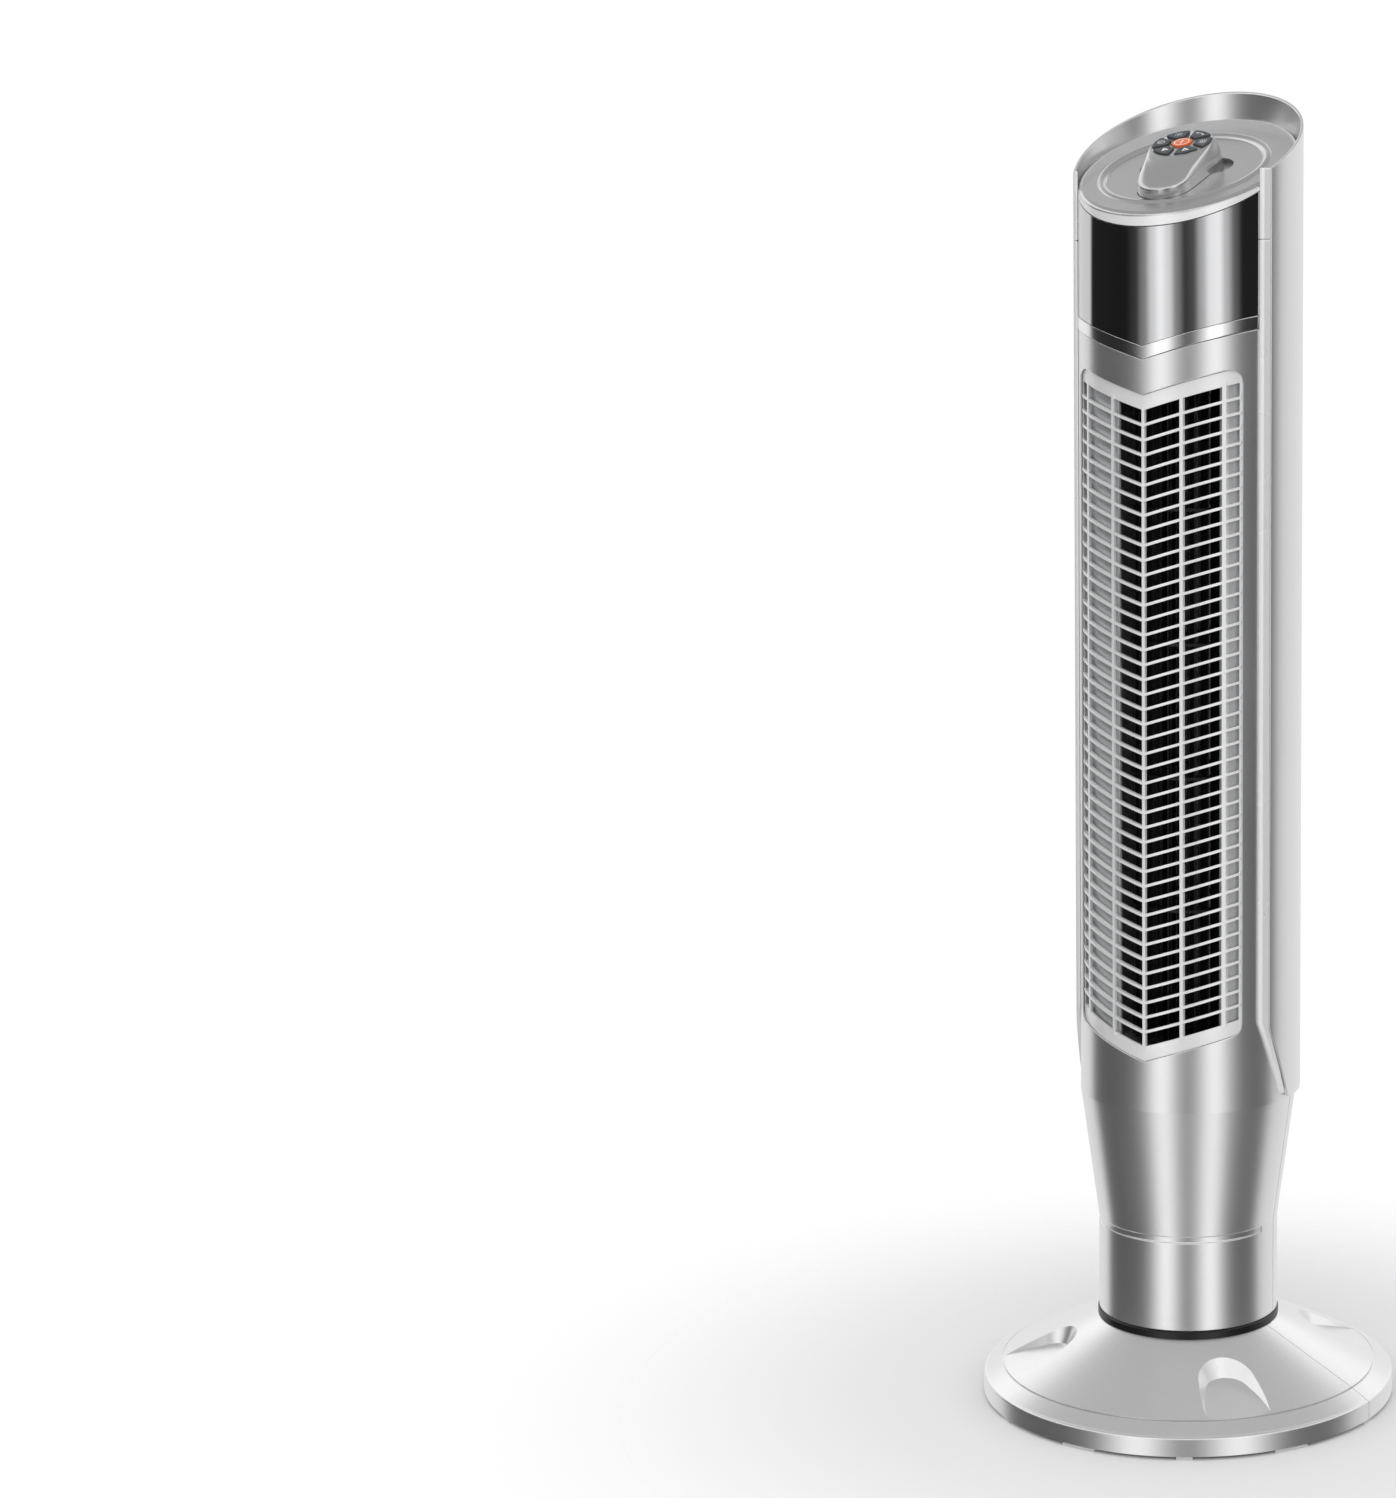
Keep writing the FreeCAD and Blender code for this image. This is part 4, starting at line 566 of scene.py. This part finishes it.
def remote_shell_form():
    """Top shell: an upright lip, then a rounded slope that closes in on the round face."""
    around, steps = 160, 22
    foot = capsule_outline(HEAD_RADIUS - LIP_INSET, TAIL_RADIUS - LIP_INSET, TAIL_REACH, around)
    face = circle_outline(FACE_EDGE, around)
    shoulder = SPLIT_HEIGHT + LIP_HEIGHT
    form = bmesh.new()
    rings = [[form.verts.new((*spot, SPLIT_HEIGHT)) for spot in foot]]
    for i in range(steps + 1):
        bearing = i / steps * math.pi / 2
        inward = 1 - max(math.cos(bearing), 0.0) ** SLOPE_POWER
        height = shoulder + (FACE_HEIGHT - shoulder) * math.sin(bearing) ** SLOPE_POWER
        rings.append([form.verts.new((*a.lerp(b, inward), height)) for a, b in zip(foot, face)])
    for radius, depth in zip(FACE_GROOVE, (0, FACE_GROOVE_DEPTH, FACE_GROOVE_DEPTH, 0)):
        height = FACE_HEIGHT - depth
        rings.append([form.verts.new((*spot, height)) for spot in circle_outline(radius, around)])
    for inner, outer in zip(rings[1:], rings):
        for i in range(around):
            j = (i + 1) % around
            form.faces.new((outer[i], outer[j], inner[j], inner[i]))
    form.faces.new(rings[-1])
    form.faces.new(list(reversed(rings[0])))
    return form


def arc_points(radius, start, end, count):
    turns = [start + (end - start) * i / count for i in range(count + 1)]
    return [(radius * math.cos(turn), radius * math.sin(turn)) for turn in turns]


def sector_points(middle, grow=0.0):
    """Outline of one key round the power key, widened by 'grow'."""
    half_gap = KEY_HALF_GAP - grow
    corners = []
    for radius, first in ((KEY_OUTER + grow, -1), (KEY_INNER - grow, 1)):
        half = math.pi / 6 - half_gap / radius
        corners += arc_points(radius, middle + first * half, middle - first * half, 14 if first < 0 else 7)
    return corners


def prism(points, low, high, corner=0.0, edge=0.0):
    """Upright prism whose sharp upright corners and top edge may be rounded."""
    form = bmesh.new()
    foot = [form.verts.new((x, y, low)) for x, y in points]
    top = [form.verts.new((x, y, high)) for x, y in points]
    count = len(points)
    form.faces.new(list(reversed(foot)))
    form.faces.new(top)
    for i in range(count):
        j = (i + 1) % count
        form.faces.new((foot[i], foot[j], top[j], top[i]))
    form.normal_update()
    if corner:
        upright = [
            e for e in form.edges
            if abs(e.verts[0].co.z - e.verts[1].co.z) > 0.5 * (high - low) and e.calc_face_angle(0) > 0.8
        ]
        bmesh.ops.bevel(form, geom=upright, offset=corner, segments=5, affect="EDGES", profile=0.5)
    if edge:
        form.normal_update()
        rim = [
            e for e in form.edges
            if min(v.co.z for v in e.verts) > high - 1e-6 and e.calc_face_angle(0) > 0.8
        ]
        bmesh.ops.bevel(form, geom=rim, offset=edge, segments=3, affect="EDGES", profile=0.6)
    return form


# Each key's bearing round the power key in degrees, counted from the remote's +x.
KEYS = {"mode": 0, "oscillation": 60, "ionizer": 120, "timer": 180, "minus": 240, "plus": 300}
CIRCLE = 2 * math.pi
ROUND_STEPS = 64


def cut_wells(shell_mesh):
    """Shell with a well cut for each key."""
    maker = bpy.data.objects.new("shell_maker", shell_mesh)
    bpy.context.scene.collection.objects.link(maker)
    cutters = []
    wells = [(sector_points(math.radians(angle), KEY_CLEARANCE), WELL_CORNER) for angle in KEYS.values()]
    wells.append((arc_points(POWER_RADIUS + KEY_CLEARANCE, 0, CIRCLE, ROUND_STEPS)[:-1], 0))
    for points, corner in wells:
        form = prism(points, WELL_FOOT, KEY_TOP + WELL_PAST_KEYS, corner)
        cutter = bpy.data.objects.new("well_maker", finish_form(form, "well_maker"))
        bpy.context.scene.collection.objects.link(cutter)
        cutters.append(cutter)
        boolean = maker.modifiers.new("well", "BOOLEAN")
        boolean.object = cutter
        boolean.operation = "DIFFERENCE"
        boolean.solver = "EXACT"
    seen = maker.evaluated_get(bpy.context.evaluated_depsgraph_get())
    result = bpy.data.meshes.new_from_object(seen)
    for thing in [maker] + cutters:
        bpy.data.objects.remove(thing)
    return result


shell_mesh = cut_wells(finish_form(remote_shell_form(), "remote_top_form"))
set_normals(shell_mesh)
piece("remote_top_cover", shell_mesh, "remote_top_shell")

for name, angle in KEYS.items():
    form = prism(sector_points(math.radians(angle)), KEY_FOOT, KEY_TOP, corner=KEY_CORNER, edge=KEY_EDGE)
    mesh = finish_form(form, name + "_key_form")
    set_normals(mesh)
    piece(name + "_key_cap", mesh, name + "_button")
form = prism(arc_points(POWER_RADIUS, 0, CIRCLE, ROUND_STEPS)[:-1], KEY_FOOT, KEY_TOP, edge=POWER_EDGE)
mesh = finish_form(form, "power_key_form")
set_normals(mesh)
piece("power_key_cap", mesh, "power_button")

# Prints start just inside a key's top face and end just above it, near the middle of the key.
PRINT_FOOT = KEY_TOP - 0.05
PRINT_TOP = KEY_TOP + 0.04
SIGN_LIFT = 0.03
KEY_MIDDLE = (KEY_INNER + KEY_OUTER) / 2 + 0.4

# Sizes of the marks in millimetres.
LINE = 0.55
POWER_RING = 6.1
POWER_RING_LINE = 0.65
POWER_STROKE = 3.4
POWER_STROKE_LINE = 0.9
CLOCK_RADIUS = 2.8
LONG_HAND = 1.9
SHORT_HAND = 1.4
DOT_CIRCLE = 2.7
DOT_RADIUS = 0.55
MIDDLE_DOT_RADIUS = 0.8
WAVE_HALF = 3.6
WAVE_RISE = 0.8
WAVE_STEPS = 24
WAVE_PITCH = 2.0
TRIANGLE_HALF = 3.2
TRIANGLE_BACK = 2.2
TRIANGLE_TIP = 3.2
SIGN_HALF = 1.3
SIGN_SHIFT = 0.6
SIGN_LINE = 0.6


def stroke(start, end, width):
    """Straight printed line as a four-cornered outline."""
    along = (Vector(end) - Vector(start)).normalized() * width / 2
    across = Vector((-along.y, along.x))
    start, end = Vector(start), Vector(end)
    return [tuple(start - across), tuple(end - across), tuple(end + across), tuple(start + across)]


def dot(x, y, radius):
    return [(x + px, y + py) for px, py in arc_points(radius, 0, CIRCLE, 20)[:-1]]


def bow(x, y, radius, width, start, end, count=28):
    """Printed arc as one closed outline."""
    outer = [(x + px, y + py) for px, py in arc_points(radius + width / 2, start, end, count)]
    inner = [(x + px, y + py) for px, py in arc_points(radius - width / 2, end, start, count)]
    return outer + inner


def ring(radius, width):
    """Printed ring in two halves."""
    return [bow(0, 0, radius, width, start, end) for start, end in ((0, math.pi), (math.pi, CIRCLE))]


def wave(y, width):
    """Printed wave across a key."""
    middle = [
        (-WAVE_HALF + 2 * WAVE_HALF * i / WAVE_STEPS, y + WAVE_RISE * math.sin(i / WAVE_STEPS * 2 * CIRCLE))
        for i in range(WAVE_STEPS + 1)
    ]
    upper = [(x, level + width / 2) for x, level in reversed(middle)]
    lower = [(x, level - width / 2) for x, level in middle]
    return upper + lower


def print_on(name, key, outlines, angle=None, material=None, lift=0.0):
    """Thin raised print on a key cap. With an angle, the outlines' +y points away from the power key."""
    form = bmesh.new()
    place = Matrix.Identity(4)
    if angle is not None:
        outward = Matrix.Rotation(-math.pi / 2, 4, "Z")
        place = Matrix.Rotation(angle, 4, "Z") @ Matrix.Translation((KEY_MIDDLE, 0, 0)) @ outward
    for points in outlines:
        block = prism(points, PRINT_FOOT, PRINT_TOP + lift)
        block.transform(place)
        flat = bpy.data.meshes.new("print_block")
        block.to_mesh(flat)
        block.free()
        form.from_mesh(flat)
        bpy.data.meshes.remove(flat)
    mesh = finish_form(form, name)
    thing = bpy.data.objects.new(name, mesh)
    bpy.context.scene.collection.objects.link(thing)
    mesh.materials.append(material or PRINT)
    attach(thing, bodies[key])


power_bar = stroke((0, -POWER_STROKE), (0, POWER_STROKE), POWER_STROKE_LINE)
print_on("power_print", "power_button", ring(POWER_RING, POWER_RING_LINE) + [power_bar])
hands = [stroke((0, 0), (0, LONG_HAND), LINE), stroke((0, 0), (SHORT_HAND, 0), LINE)]
print_on("timer_print", "timer_button", ring(CLOCK_RADIUS, LINE) + hands, math.radians(KEYS["timer"]))
dots = [
    dot(DOT_CIRCLE * math.cos(k * CIRCLE / 6), DOT_CIRCLE * math.sin(k * CIRCLE / 6), DOT_RADIUS)
    for k in range(6)
]
dots.append(dot(0, 0, MIDDLE_DOT_RADIUS))
print_on("ionizer_print", "ionizer_button", dots, math.radians(KEYS["ionizer"]))
print_on(
    "oscillation_print",
    "oscillation_button",
    [
        bow(0, -3.2, 5.0, LINE, math.radians(52), math.radians(128)),
        [(3.0, 1.9), (3.1, -0.7), (4.9, 1.0)],
        [(-3.1, -0.7), (-3.0, 1.9), (-4.9, 1.0)],
    ],
    math.radians(KEYS["oscillation"]),
)
waves = [wave(level, LINE) for level in (-WAVE_PITCH, 0.0, WAVE_PITCH)]
print_on("mode_print", "mode_button", waves, math.radians(KEYS["mode"]))
for name, flip in (("minus", 1), ("plus", -1)):
    back = -TRIANGLE_BACK * flip
    points = [(-TRIANGLE_HALF, back), (TRIANGLE_HALF, back), (0, TRIANGLE_TIP * flip)]
    if flip < 0:
        points.reverse()
    print_on(name + "_print", name + "_button", [points], math.radians(KEYS[name]))
    level = -SIGN_SHIFT * flip
    signs = [stroke((-SIGN_HALF, level), (SIGN_HALF, level), SIGN_LINE)]
    if name == "plus":
        signs.append(stroke((0, level - SIGN_HALF), (0, level + SIGN_HALF), SIGN_LINE))
    print_on(name + "_sign", name + "_button", signs, math.radians(KEYS[name]), SLATE, lift=SIGN_LIFT)
